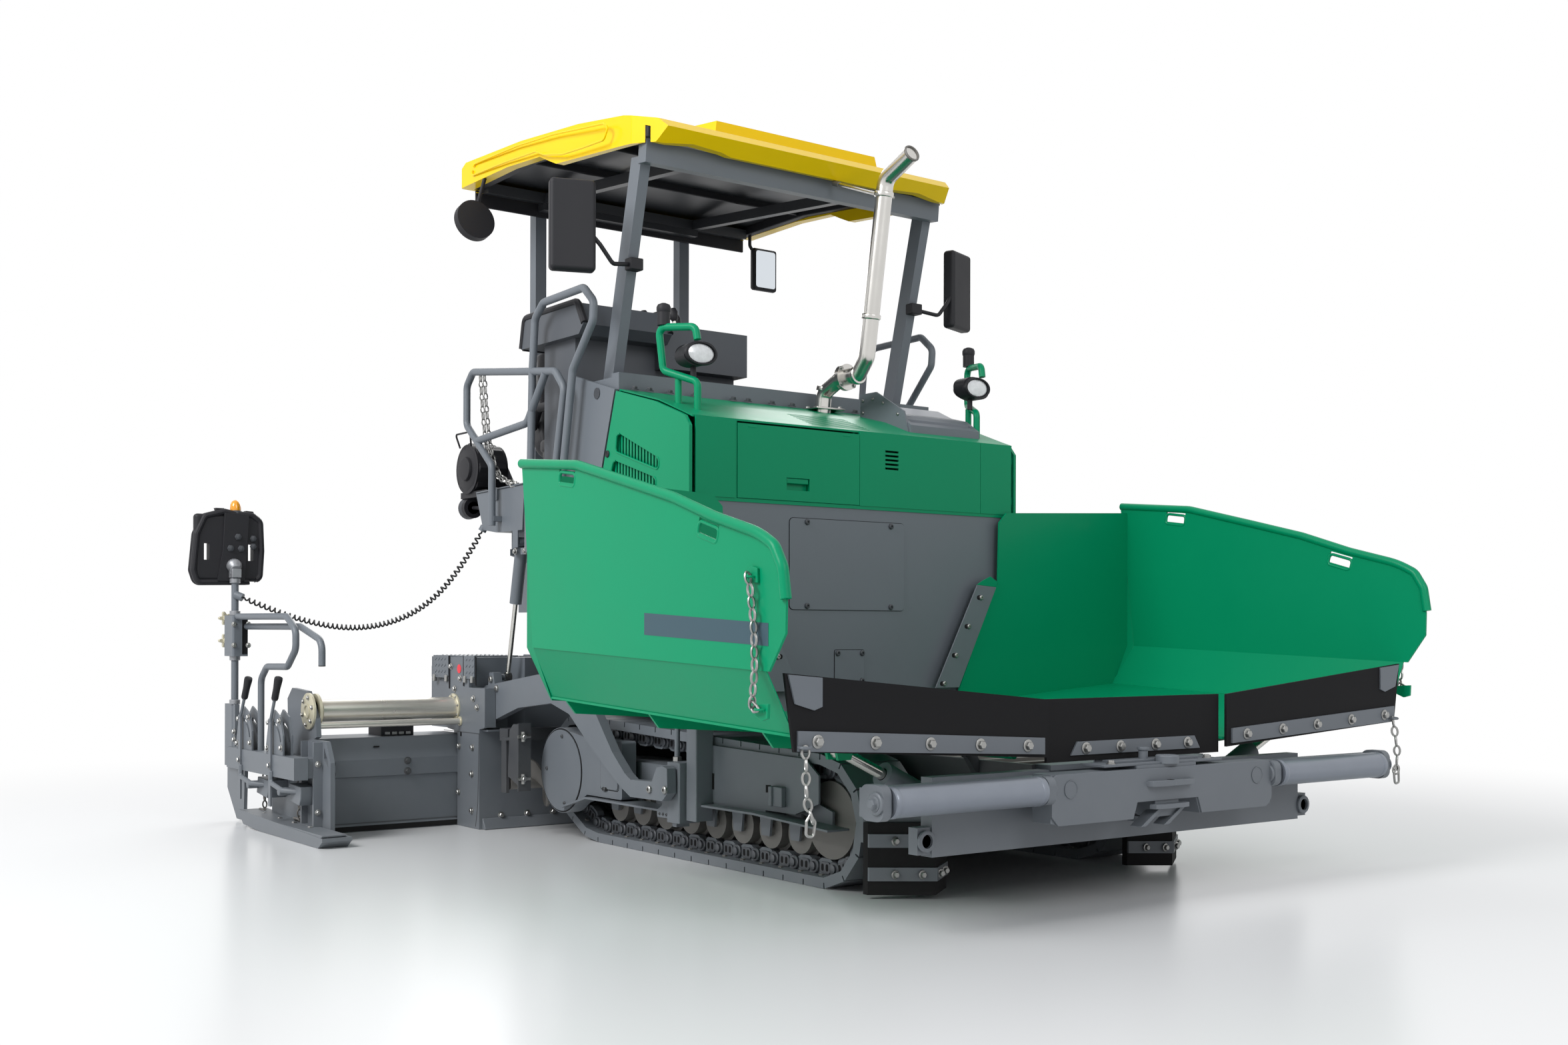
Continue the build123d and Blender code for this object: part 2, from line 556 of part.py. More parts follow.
def make_rear_kit():
    """Round black case on its shelf behind the right storage box, and the rear work lamp below it."""
    kit = bar((-1930, -860, 1700), (-1930, -700, 1700), 120)
    kit += block((-2020, -1735), (-850, -712), (1560, 1590))
    kit += bar((-2010, -815, 1515), (-1950, -815, 1515), 50) + bar((-1955, -815, 1515), (-1700, -815, 1505), 9)
    return kit - make_platform()


ROOF_TILT = 5.4
ROOF_FRONT = (-320, 2916)     # lower front edge of the roof, and its rear edge
ROOF_REAR = (-1985, 3074)
ROOF_HALF = 872
ROOF_WALL = 26
ROOF_NOSE_X = -262            # foremost line of the roof, above its lower front edge
# side view of the rim as (x, z): the lower edge from the front to the rear, then the top back to the front
ROOF_EDGE = [ROOF_FRONT, (-560, 2940), (-1056, 2985), (-1127, 3015), (-1203, 3050), (-1509, 3072),
             ROOF_REAR]
ROOF_TOP = [(-1985, 3160), (-1930, 3188), (-1381, 3163), (-869, 3115), (-500, 3060), (-310, 3012),
            (ROOF_NOSE_X, 2972)]
# what the front's lower edge clears, as (y, z)
ROOF_FRONT_ARCH = [(-900, 2800), (-900, 2900), (-620, 2932), (-473, 2925), (-322, 2900), (-180, 2886),
                   (180, 2886), (322, 2900), (473, 2925), (620, 2932), (900, 2900), (900, 2800)]


def make_roof_shell():
    """Moulded hard top: deep rim with a stepped lower edge, crowned skin and a raised middle."""
    shell = prism(ROOF_EDGE + ROOF_TOP, "y", -ROOF_HALF, ROOF_HALF)
    plan = [(ROOF_REAR[0], ROOF_HALF), (ROOF_FRONT[0] - 120, ROOF_HALF - 34), (ROOF_NOSE_X, ROOF_HALF - 102)]
    plan += [(x, -y) for x, y in reversed(plan)]
    shell &= prism(plan, "z", 2700, 3400)
    shell = fillet(shell.edges().filter_by(Axis.Z), 16)
    length = ROOF_FRONT[0] - ROOF_REAR[0]
    bulge = [(90 - length / 2, -560), (length / 2 - 60, -470), (length / 2 - 60, 470),
             (90 - length / 2, 560)]
    shell += in_roof(extrude(make_face(Polyline(*bulge, close=True)), amount=165, taper=12))
    inside = [(ROOF_REAR[0] + ROOF_WALL, 2800), (ROOF_REAR[0] + ROOF_WALL, ROOF_TOP[2][1] - ROOF_WALL)]
    inside += [(x, z - ROOF_WALL) for x, z in ROOF_TOP[2:5]]
    inside += [(ROOF_FRONT[0] - ROOF_WALL, 2985), (ROOF_FRONT[0] - ROOF_WALL, 2800)]
    shell -= prism(inside, "y", 60 - ROOF_HALF, ROOF_HALF - 60)
    return shell - prism(ROOF_FRONT_ARCH, "x", ROOF_FRONT[0] - 60, 0)


def make_roof_lining():
    """Dark lining under the roof's skin."""
    under = [(x, z - ROOF_WALL - 18) for x, z in ROOF_TOP[2:5]]
    under = [(ROOF_REAR[0] + ROOF_WALL + 4, under[0][1])] + under
    over = [(x, z + 12) for x, z in reversed(under)]
    return prism(under + over, "y", 64 - ROOF_HALF, ROOF_HALF - 64)


def in_roof(shape):
    """Put a shape that is drawn flat under the roof's rim at the roof's place and slope."""
    middle_x = (ROOF_FRONT[0] + ROOF_REAR[0]) / 2
    middle_z = (ROOF_FRONT[1] + ROOF_REAR[1]) / 2
    return Pos(middle_x, 0, middle_z) * Rot(0, ROOF_TILT, 0) * shape


def make_roof_posts():
    """Leaning front posts, upright rear posts and the cross tubes that carry the roof."""
    front = prism([(-735, 1960), (-655, 1960), (-420, 2880), (-500, 2890)], "y", 752, 800)
    foot = block((-745, -560), (752, DECK_HALF - 4), (1925, 1975))
    rear = block((-2045, -1985), (400, 460), (PLATFORM_Z, 3050))
    rails = both(block((-780, 735), (420, 460), (-14, 34)))
    rails += block((725, 785), (-806, 806), (-76, 14)) + block((-800, -740), (-770, 770), (-14, 34))
    posts = both(front + rear + foot) + in_roof(rails)
    posts += block((-2045, -1900), (-460, 460), (3020, 3066))
    return posts


RAIL_R = 17
# rails beside the platform: bend, then the corners as (x, z)
RAILS = [
    (45, [(-1500, 1400), (-1500, 1678), (-1765, 1890), (-1765, 2075), (-1700, 2135), (-895, 2036),
          (-815, 1955), (-885, 1640), (-890, 1264)]),
    (60, [(-1650, 1806), (-1155, 1838), (-985, 2040)]),
    (45, [(-868, 1380), (-744, 2022), (-573, 2205), (-566, 2285), (-650, 2356), (-1005, 2350),
          (-1082, 2290), (-1106, 2069), (-1135, 1264)]),
]
RAIL_FEET = [(-1500, 1420), (-890, 1264), (-1135, 1264)]     # (x, height of the foot's underside)


def make_handrails():
    """Grab rails each side of the platform's entrance, with their feet on the floor's edge."""
    y = PLATFORM_HALF + 40
    rails = None
    for bend, points in RAILS:
        rail = bent_tube([(x, y, z) for x, z in points], bend, RAIL_R)
        rails = rail if rails is None else rails + rail
    for x, z in RAIL_FEET:
        rails += block((x - 20, x + 20), (PLATFORM_HALF - (2 if z > PLATFORM_Z else 0), y), (z, z + 24))
    rails += block((-870, -830), (HOOD_HALF, y), (1400, 1440))
    return both(rails)


def make_lamp_brackets():
    """Bent green tube frames that carry and guard the work lamps."""
    tube = bent_tube([(-60, 757, 1752), (-60, 757, 1905), (-200, 830, 1960), (-215, 843, 2135),
                      (-50, 775, 2120), (-40, 772, 2068)], 30, 15)
    stub = bar((-150, 790, 1806), (-150, 790, 1935), 14)
    return both(tube + stub) - under_hood()


def make_headlamps():
    """Oval work lamps, their feet on the brackets, and the small beacon sockets."""
    lamp = Pos(-124, 749, 2017) * Rot(0, 90, -12) * extrude(Ellipse(48, 78), amount=70, both=False)
    foot = bar((-100, 752, 1925), (-100, 752, 1990), 12)
    socket = bar((-195, 832, 2140), (-195, 832, 2195), 26)
    return both(lamp + foot + socket) - make_lamp_brackets()


def make_mirrors():
    """Two large mirrors on the front posts, a round one and a tall one under the roof's rear corners."""
    housing = Pos(-527, 1065, 2572) * Rot(0, 0, 20) * fillet(Box(62, 190, 375).edges(), 18)
    arm = bent_tube([(-520, 790, 2450), (-480, 900, 2430), (-480, 960, 2500), (-500, 1010, 2560)], 25, 9)
    disc = Pos(-1700, -935, 2850) * Rot(0, 78, 20) * Cylinder(95, 40)
    stem = bar((-1760, -840, 3120), (-1715, -925, 2890), 9)
    tall = fillet(block((-1925, -1885), (816, 977), (2785, 3015)).edges(), 16)
    hook = bent_tube([(-1900, 800, 3110), (-1900, 800, 3020), (-1912, 850, 2975)], 20, 9)
    return both(housing + arm) + disc + stem + tall + hook - make_roof_posts() - make_roof_shell()


# ---------------------------------------------------------------- hopper wings
# sections of the wing's bottom: (y, z at the rear end, z at the front end)
WING_FLOOR_SECTION = [(470, 590, 525), (1495, 667, 602)]
WING_SLOPE_SECTION = [(1488, 667, 602), (1590, 852, 795)]
WALL_TOP = [(58, 1507), (463, 1469), (810, 1384), (1070, 1319), (1299, 1245), (1523, 1187), (1600, 1148),
            (1640, 1085), (1655, 994)]


def make_wing():
    """Left hopper wing: floor, sloped and upright outer wall, rear wall, top tube and ribs."""
    skin = None
    for outline in (WING_FLOOR_SECTION, WING_SLOPE_SECTION):
        sections = []
        for x, column in ((WING_REAR_X, 1), (WING_FRONT_X, 2)):
            line = [(x, row[0], row[column]) for row in outline]
            line += [(x, row[0], row[column] + PLATE) for row in reversed(outline)]
            sections.append(make_face(Polyline(*line, close=True)))
        one = loft(sections, ruled=True)
        skin = one if skin is None else skin + one
    skin -= prism([(60, 640), (92, 667), (143, 853), (143, 900), (60, 900)], "y", 1400, 1700)
    wall_line = WALL_TOP + [(1653, 904), (1574, 795), (143, 852)]
    wall = prism(wall_line, "y", WING_CREASE_Y - 4, WING_CREASE_Y + 4)
    for x, z, lean in ((390, 1445, -8), (1262, 1220, -16)):
        slot = Pos(x, WING_CREASE_Y, z) * Rot(0, -lean, 0) * Box(110, 40, 46)
        wall -= slot
    tube = bent_tube([(x, WING_CREASE_Y + 4, z + 8) for x, z in WALL_TOP],
                     [200, 400, 400, 400, 400, 60, 50], WING_TUBE_R)
    rear = prism([(474, 592), (700, 1080), (738, 1130), (745, 1400), (790, 1445), (WING_CREASE_Y, 1482),
                  (WING_CREASE_Y, 852), (WING_FLOOR_Y, 667), (WING_FLOOR_Y - 4, 660)], "x", WING_REAR_X,
                  WING_REAR_X + PLATE)
    hinge = bar((WING_REAR_X + 10, WING_HINGE_Y, WING_HINGE_Z), (1440, WING_HINGE_Y, WING_HINGE_Z),
                HINGE_BAR_R)
    web = block((WING_REAR_X + 10, 1440), (WING_HINGE_Y - 5, WING_HINGE_Y + 5), (WING_HINGE_Z, 540))
    for x in HINGE_LUG_X:
        web -= block((x - 8, x + HINGE_LUG_THICK + 8), (WING_HINGE_Y - 9, WING_HINGE_Y + 9),
                     (WING_HINGE_Z - 1, 545))
    lug = None
    for x in (1268, 1320):
        one = prism([(1070, 582), (1170, 590), (1145, 505), (1095, 505)], "x", x, x + 12)
        lug = one if lug is None else lug + one
    ribs = None
    for x in (200, 760, 1400):
        drop = (x - WING_REAR_X) * 0.0444
        one = prism([(WING_HINGE_Y, 555 - drop), (WING_HINGE_Y, 593 - drop), (WING_FLOOR_Y, 669 - drop),
                     (WING_FLOOR_Y - 40, 620 - drop)], "x", x, x + 10)
        ribs = one if ribs is None else ribs + one
    return skin + wall + tube + rear + hinge + web + lug + ribs


def make_apron():
    """Rubber skirt across the wing's open front edge."""
    return prism([(455, 500), (455, 690), (WING_FLOOR_Y + 40, 790), (WING_FLOOR_Y + 5, 560)], "x", 1560,
                 1570)


def make_apron_clamp():
    """Steel clamp strip along the skirt, its outer corner plate and the chain lug."""
    strip = prism([(480, 512), (480, 566), (WING_FLOOR_Y - 5, 622), (WING_FLOOR_Y - 5, 562)], "x", 1570,
                  1578)
    corner = prism([(1400, 775), (1400, 690), (1430, 680), (1500, 700), (1525, 786)], "x", 1570, 1576)
    return strip + corner


def make_centre_apron():
    """Rubber skirt over the conveyor's front end."""
    return prism([(-440, 480), (-440, 690), (440, 690), (440, 480)], "x", 1536, 1546)


def make_front_crossbeam():
    """Cross beam that carries the push beam, its end brackets and the centre skirt's clamp."""
    beam = block(CROSSBEAM_X, (-CROSSBEAM_HALF, CROSSBEAM_HALF), (205, 455))
    beam += both(block((CROSSBEAM_X[0] + 4, CROSSBEAM_X[1] - 6), (CROSSBEAM_HALF - 5, CROSSBEAM_HALF + 55),
                       (215, 300)))
    beam -= both(bar((1470, LASH_Y, LASH_Z), (1540, LASH_Y, LASH_Z), LASH_R))
    beam += block((1462, 1536), (-410, 410), (452, 470))
    beam += block((1530, 1536), (-200, 200), (466, 520))
    beam += prism([(-330, 500), (-300, 545), (300, 545), (330, 500)], "x", 1546, 1552)
    for z in (262, 340):
        ear = block((CROSSBEAM_X[1] - 2, PUSH_PIVOT_X), (-28, 28), (z, z + 18))
        ear += bar((PUSH_PIVOT_X, 0, z), (PUSH_PIVOT_X, 0, z + 18), 28)
        beam += ear
    return beam


def make_push_beam():
    """Swinging beam with the roller brackets, the pivot tongue and the tow jaw."""
    mid = prism([(-560, 300), (-560, 455), (560, 455), (560, 300), (520, 290), (170, 290), (150, 345),
                 (-150, 345),
                 (-170, 290), (-520, 290)], "x", 1600, 1680)
    arms = both(block((1590, 1615), (540, 1272), (362, 448)))
    bracket = fillet(block((1595, 1700), (1240, 1272), (352, 460)).edges().filter_by(Axis.Y), 30)
    inner = fillet(block((1610, 1705), (558, 592), (360, 452)).edges().filter_by(Axis.Y), 30)
    mid += arms + both(bracket + inner)
    mid += block((1560, 1680), (-150, 150), (455, 466))
    mid += bar((PUSH_PIVOT_X, 0, 290), (PUSH_PIVOT_X, 0, 330), 26) + block((PUSH_PIVOT_X, 1610), (-24, 24),
                                                                           (290, 330))
    mid += block((1600, 1680), (-60, 60), (290, 350))
    eye_half = FRONT_END - TOW_EYE_X
    mid += block((1670, TOW_EYE_X), (-eye_half, eye_half), TOW_EYE_Z)
    mid += bar((TOW_EYE_X, 0, TOW_EYE_Z[0]), (TOW_EYE_X, 0, TOW_EYE_Z[1]), eye_half)
    return mid - bar((TOW_EYE_X, 0, TOW_EYE_Z[0] - 2), (TOW_EYE_X, 0, TOW_EYE_Z[1] + 2), TOW_EYE_R)


def make_push_roller():
    """Left push roller with its bearing ends."""
    y0, y1 = PUSH_ROLLER_Y
    roller = bar((PUSH_ROLLER_X, y0 + 2, PUSH_ROLLER_Z), (PUSH_ROLLER_X, y1, PUSH_ROLLER_Z), PUSH_ROLLER_R)
    return roller


def make_wing_barrel():
    """Left wing cylinder's barrel, with its foot eye."""
    foot, lug = Vector(1300, 560, 270), Vector(1300, 1120, 535)
    way = (lug - foot).normalized()
    end = foot + way * 420
    barrel = bar(tuple(foot + way * 30), tuple(end), 42) - bar(tuple(foot + way * 60),
                                                               tuple(end + way * 5), 21)
    eye = bar((1282, 560, 270), (1318, 560, 270), 36)
    return barrel + eye


def make_wing_rod():
    foot, lug = Vector(1300, 560, 270), Vector(1300, 1120, 535)
    way = (lug - foot).normalized()
    rod = bar(tuple(foot + way * 290), tuple(lug - way * 20), 19)
    return rod + bar((1286, 1120, 535), (1314, 1120, 535), 26)


# ---------------------------------------------------------------- tow points, arms and screed
def make_tow_carriages():
    """Sliding blocks at the tow points, each with the bore of its arm's front pivot."""
    carriage = fillet(block((-60, 30), (COVER_Y + 12, ARM_Y[0] - 7), (165, 400)).edges().filter_by(Axis.Z),
                      6)
    return both(carriage - bar((TOW_X, ARM_Y[0] - 45, TOW_Z), (TOW_X, ARM_Y[0], TOW_Z), TOW_PIN_R + 0.3))


ARM_LINE = [(-1600, 640), (-1547, 660), (-1042, 722), (-800, 690), (-548, 586), (-400, 420), (-300, 340),
            (-256, 318),
            (-96, 322), (-60, 380), (-19, 388), (15, 380), (18, 284), (-20, 252), (-256, 249), (-333, 283),
            (-560, 420), (-760, 560), (-920, 600), (-1229, 568), (-1594, 467)]


def make_tow_arms():
    """Long cranked arms from the tow points to the screed, with the lift cylinders' studs."""
    arm = prism(ARM_LINE, "y", *ARM_Y)
    plate = block((-1600, -1445), (ARM_Y[1] - 2, SCREED_HALF - 14), (470, 650))
    stud = bar((LIFT_EYE[0], LIFT_Y + 20, LIFT_EYE[1]), (LIFT_EYE[0], ARM_Y[0] + 5, LIFT_EYE[1]), 14)
    ear = prism([(LIFT_EYE[0] - 40, 640), (LIFT_EYE[0] - 20, 722), (LIFT_EYE[0] + 20, 722),
                 (LIFT_EYE[0] + 40, 640)],
                "y", *ARM_Y)
    pin = bar((TOW_X, LIFT_Y, TOW_Z), (TOW_X, ARM_Y[0] + 5, TOW_Z), TOW_PIN_R)
    return both(arm + plate + stud + ear + pin)


HOUSING_SLOTS = [(180, 380), (520, 700)]       # gaps between the housing's lidded boxes, as (y, y)


def make_screed_frame():
    """Main screed: sole plate, front and rear walls, side plates and the housing over the guides."""
    half = SCREED_HALF - 14
    front = block((SCREED_FRONT_X - 16, SCREED_FRONT_X), (-half, half), (4, SCREED_BOX_TOP + 10))
    rear = block((SCREED_REAR_X, SCREED_REAR_X + 12), (-half, half), (4, SCREED_BOX_TOP + 10))
    sole = block((SCREED_REAR_X, SCREED_FRONT_X), (-half, half), (0, 22))
    lid = block((SCREED_REAR_X, SCREED_FRONT_X), (-half, half), (SCREED_BOX_TOP, SCREED_BOX_TOP + 14))
    housing = block(HOUSING_X, (-half, half), HOUSING_Z)
    for y0, y1 in HOUSING_SLOTS:
        housing -= both(block((HOUSING_X[0] - 5, HOUSING_X[0] + 380), (y0, y1),
                              (HOUSING_Z[1] - 110, HOUSING_Z[1] + 5)))
    housing -= both(block((-1612, -1400), (800, half), (460, 800)))
    side = prism([(-1500, 0), (-1500, 460), (-1445, 470), (-1445, 650), (-1610, 650), (-1610, 790),
                  (-1810, 790),
                  (-1880, 640), (-1885, 500), (-1840, 452), (SCREED_REAR_X, 440), (SCREED_REAR_X, 0)], "y",
                 half, SCREED_HALF)
    frame = front + rear + sole + lid + housing + both(side)
    for x, z, radius in ((GUIDE_X, GUIDE_Z, GUIDE_R), (ROD_X, ROD_Z, ROD_R)):
        for hand in (-1, 1):
            frame -= bar((x, hand * 200, z), (x, hand * (SCREED_HALF + 5), z), radius + 1)
    walk = block((-2480, -2090), (-940, 940), (300, 330))
    legs = both(block((-2110, -2045), (300, 320), (300, 590)) + block((-2110, -2045), (820, 840),
                                                                      (300, 590)))
    return frame + walk + legs


def make_guide_tube():
    """Left telescopic guide tube and the slim rod below it."""
    end = EXT_OUTER_Y - 22
    tube = bar((GUIDE_X, 880, GUIDE_Z), (GUIDE_X, end, GUIDE_Z), GUIDE_R)
    return tube + bar((ROD_X, 880, ROD_Z), (ROD_X, end, ROD_Z), ROD_R)


def make_extension():
    """Left extending screed: box with sole plate, outer bearing plate and walkway."""
    face = [(EXT_REAR_X, 0), (EXT_FRONT_X + 4, 0), (EXT_FRONT_X + 4, 26), (EXT_FRONT_X, 34),
            (EXT_FRONT_X, 246),
            (EXT_FRONT_X + 8, 250), (EXT_FRONT_X + 8, 326), (EXT_FRONT_X - 12, 372),
            (EXT_FRONT_X - 35, 425), (EXT_REAR_X, 425)]
    body = prism(face, "y", EXT_INNER_Y, EXT_OUTER_Y)
    body -= block((EXT_REAR_X + 14, EXT_FRONT_X - 44), (EXT_INNER_Y - 5, EXT_OUTER_Y - 14), (24, 410))
    plate = prism([(-2040, 420), (-2050, 600), (-1990, 650), (-1800, 640), (-1690, 520), (-1680, 440),
                   (-1740, 420)],
                  "y", EXT_OUTER_Y - 22, EXT_OUTER_Y)
    walk = block((-2400, EXT_REAR_X + 4), (EXT_INNER_Y + 10, EXT_OUTER_Y - 20), (215, 240))
    return body + plate + walk


# levers of the end gate: x of the pivot, then x and height of the grip's top
GATE_LEVERS = [(-2245, -2130, 690), (-1835, -1730, 700)]
# handles of the end gate: bend, y, then the corners as (x, z)
GATE_HANDLES = [
    (50, 1806, [(-2440, 979), (-1765, 975), (-1650, 915), (-1650, 830), (-1753, 752), (-2020, 748),
                (-2098, 690),
                (-2098, 355)]),
    (60, 1762, [(-2440, 932), (-1715, 930), (-1455, 868), (-1455, 762)]),
]
QUADRANT_R = (92, 108)        # inner and outer radius of the arc slots


def make_end_gate():
    """Left end gate: plate, ski, beam with lever quadrants, handle, and the post for the control panel."""
    plate = prism([(-2190, 30), (-2190, 300), (-1900, 300), (-1710, 430), (-1510, 430), (-1456, 340),
                   (-1456, 30)],
                  "y", EXT_OUTER_Y + 2, GATE_Y)
    plate -= prism([(-1534, 402), (-1534, 356), (-1484, 318), (-1484, 342)], "y", EXT_OUTER_Y, GATE_Y + 2)
    ski = prism([(-2300, 60), (-2240, 12), (-2016, 0), (-1290, 0), (-1242, 30), (-1242, 44), (-2300, 74)],
                "y", GATE_Y - 12, SKI_Y - 3)
    channel = block((-1710, -1550), (GATE_Y - 4, GATE_Y + 40), (40, 425))
    channel -= block((-1696, -1564), (GATE_Y + 12, GATE_Y + 42), (60, 430))
    beam = block((-2452, -1547), (1788, 1850), (264, 361))
    link = block((-2100, -1560), (GATE_Y - 4, 1792), (270, 355))
    stand = block((-2600, -2450), (1790, 1812), (262, 560))
    post = bar((POST_X, POST_Y, 262), (POST_X, POST_Y, 1215), 17)
    clamp = fillet(block((-2560, -2430), (POST_Y - 45, POST_Y + 30), (790, 985)).edges().filter_by(Axis.Z),
                   10)
    last, end = Vector(*CORD_ROUTE[-2]), Vector(*CORD_ROUTE[-1])
    way = (end - last).normalized()
    way, end = Vector(way.X, -way.Y, way.Z), Vector(end.X, -end.Y, end.Z)
    gland = bar(tuple(end), tuple(end + way * 40), CORD_R + 4)
    gate = plate + ski + channel + beam + link + stand + post + clamp + gland
    for bend, y, points in GATE_HANDLES:
        gate += bent_tube([(x, y, z) for x, z in points], bend, 15)
    for x, grip_x, grip_z in GATE_LEVERS:
        gate += make_gate_lever(x, grip_x, grip_z)
    skid = prism([(-2640, 250), (-2640, 150), (-2500, 10), (-2400, 10), (-2380, 300), (-2560, 320)], "y",
                 1770, 1786)
    return gate + skid + block((-2560, -2400), (1765, 1792), (280, 340))


def make_gate_lever(x, grip_x, grip_z):
    """Slotted quadrant on the beam with the lever that is locked in it."""
    outline = [(x - 90, 355), (x - 90, 400), (x - 60, 500), (x + 10, 560), (x + 90, 530), (x + 125, 450),
               (x + 125, 355)]
    centre_z = 400
    arc = bar((x, 1790, centre_z), (x, 1860, centre_z), QUADRANT_R[1]) - bar((x, 1788, centre_z),
                                                                             (x, 1862, centre_z),
                                                                             QUADRANT_R[0])
    arc &= prism([(x + 12, centre_z + 20), (x + 12, centre_z + 160), (x + 150, centre_z + 160),
                  (x + 150, centre_z + 20)],
                 "y", 1780, 1870)
    plates = prism(outline, "y", 1794, 1802) + prism(outline, "y", 1834, 1842)
    plates -= arc
    lever = block((x - 14, x + 14), (1850, 1858), (130, 520))
    lever += bar((x, 1800, 312), (x, 1866, 312), 12)
    top = Vector(grip_x, 1854, grip_z)
    low = Vector(x, 1854, 505)
    way = (top - low).normalized()
    lever += bar(tuple(low), tuple(top), 7) + bar(tuple(top - way * 105), tuple(top), 14)
    return plates + lever


def make_control_panel():
    """Hand console on the end gate's post, with its ball joint and amber lamp."""
    slab = block((-2572, -2526), (1662, 1978), (1150, 1470))
    slab = fillet(slab.edges(), 18)
    for y in (1700, 1910):
        slab -= block((-2600, -2500), (y, y + 26), (1250, 1330))
    neck = bar((-2530, POST_Y, 1190), (POST_X - 17, POST_Y, 1190), 18)
    lamp = bar((-2549, 1780, 1462), (-2549, 1780, 1500), 22)
    return slab + neck + lamp


def make_auger():
    """Left auger: shaft with a helical flight, its radial edge turned a step at a time along the shaft."""
    y0, y1 = AUGER_Y
    shaft = bar((AUGER_X, y0, AUGER_Z), (AUGER_X, y1, AUGER_Z), AUGER_SHAFT_R)
    steps = int((y1 - y0 - 60) / FLIGHT_PITCH * FLIGHT_STEPS)
    sections = []
    for i in range(steps + 1):
        angle = 2 * math.pi * i / FLIGHT_STEPS
        y = y0 + 30 + FLIGHT_PITCH * i / FLIGHT_STEPS
        corners = []
        for radius, side in ((AUGER_SHAFT_R - 8, -1), (AUGER_R, -1), (AUGER_R, 1), (AUGER_SHAFT_R - 8, 1)):
            corners.append((AUGER_X + radius * math.cos(angle), y + side * FLIGHT_THICK / 2,
                            AUGER_Z + radius * math.sin(angle)))
        sections.append(make_face(Polyline(*corners, close=True)))
    return shaft + loft(sections, ruled=True)


def make_auger_drive():
    """Beam, middle gearbox and outer bearings that hang the augers behind the tub, and the end shields."""
    gear = block((AUGER_X - 45, AUGER_X + 45), (-60, 60), (120, 500))
    beam = block((-1385, -1305), (-955, 955), (415, 470))
    ends = block((AUGER_X - 25, AUGER_X + 25), (AUGER_Y[1] + 10, 955), (180, 430))
    tie = block((-1310, TUB_REAR_X + 10), (TUB_HALF - 80, TUB_HALF - 40), (415, 470))
    shield = prism([(-1250, 300), (-1236, 470), (-1200, 498), (-1120, 500), (-1120, 215), (-1250, 262)],
                   "y",
                   SHIELD_Y, SHIELD_Y + 6)
    shield += block((-1126, -1120), (SHIELD_Y - 40, SHIELD_Y + 22), (205, 505))
    shield += block((-1320, -1124), (940, SHIELD_Y + 2), (422, 434))
    return gear + beam + both(ends + tie + shield)


def make_lift_barrels():
    """Upper halves of the screed lift cylinders."""
    top, eye = Vector(LIFT_PIN[0], LIFT_Y, LIFT_PIN[1]), Vector(LIFT_EYE[0], LIFT_Y, LIFT_EYE[1])
    way = (eye - top).normalized()
    barrel = bar(tuple(top + way * 20), tuple(top + way * BARREL_LENGTH), 28)
    barrel -= bar(tuple(top + way * 44), tuple(top + way * (BARREL_LENGTH + 10)), 12)
    barrel += bar((LIFT_PIN[0], LIFT_Y - 26, LIFT_PIN[1]), (LIFT_PIN[0], LIFT_Y + 26, LIFT_PIN[1]), 24)
    barrel -= bar((LIFT_PIN[0], LIFT_Y - 30, LIFT_PIN[1]), (LIFT_PIN[0], LIFT_Y + 30, LIFT_PIN[1]), 10.3)
    return both(barrel)


def make_lift_rods():
    top, eye = Vector(LIFT_PIN[0], LIFT_Y, LIFT_PIN[1]), Vector(LIFT_EYE[0], LIFT_Y, LIFT_EYE[1])
    way = (eye - top).normalized()
    rod = bar(tuple(eye - way * 350), tuple(eye - way * 10), 11)
    return both(rod + bar((LIFT_EYE[0], LIFT_Y - 13, LIFT_EYE[1]), (LIFT_EYE[0], LIFT_Y + 13, LIFT_EYE[1]),
                          22))


CORD_ROUTE = [(-1698, -893, 1386), (-1733, -935, 1290), (-1781, -992, 1180), (-1835, -1054, 1085),
              (-1896, -1126, 1012), (-1964, -1206, 962), (-2033, -1286, 935), (-2101, -1366, 926),
              (-2170, -1446, 934), (-2239, -1527, 955), (-2307, -1607, 985), (-2376, -1687, 1024),
              (-2452, -1776, 1070)]
CORD_R = 15


def make_cord():
    """Curly cord from the platform to the control post, as the one fat tube of its coils."""
    bends = []
    for before, at, after in zip(CORD_ROUTE, CORD_ROUTE[1:], CORD_ROUTE[2:]):
        a = Vector(*at) - Vector(*before)
        b = Vector(*after) - Vector(*at)
        turn = math.radians(a.get_angle(b))
        bends.append(0.45 * min(a.length, b.length) / math.tan(turn / 2))
    return bent_tube(CORD_ROUTE, bends, CORD_R)


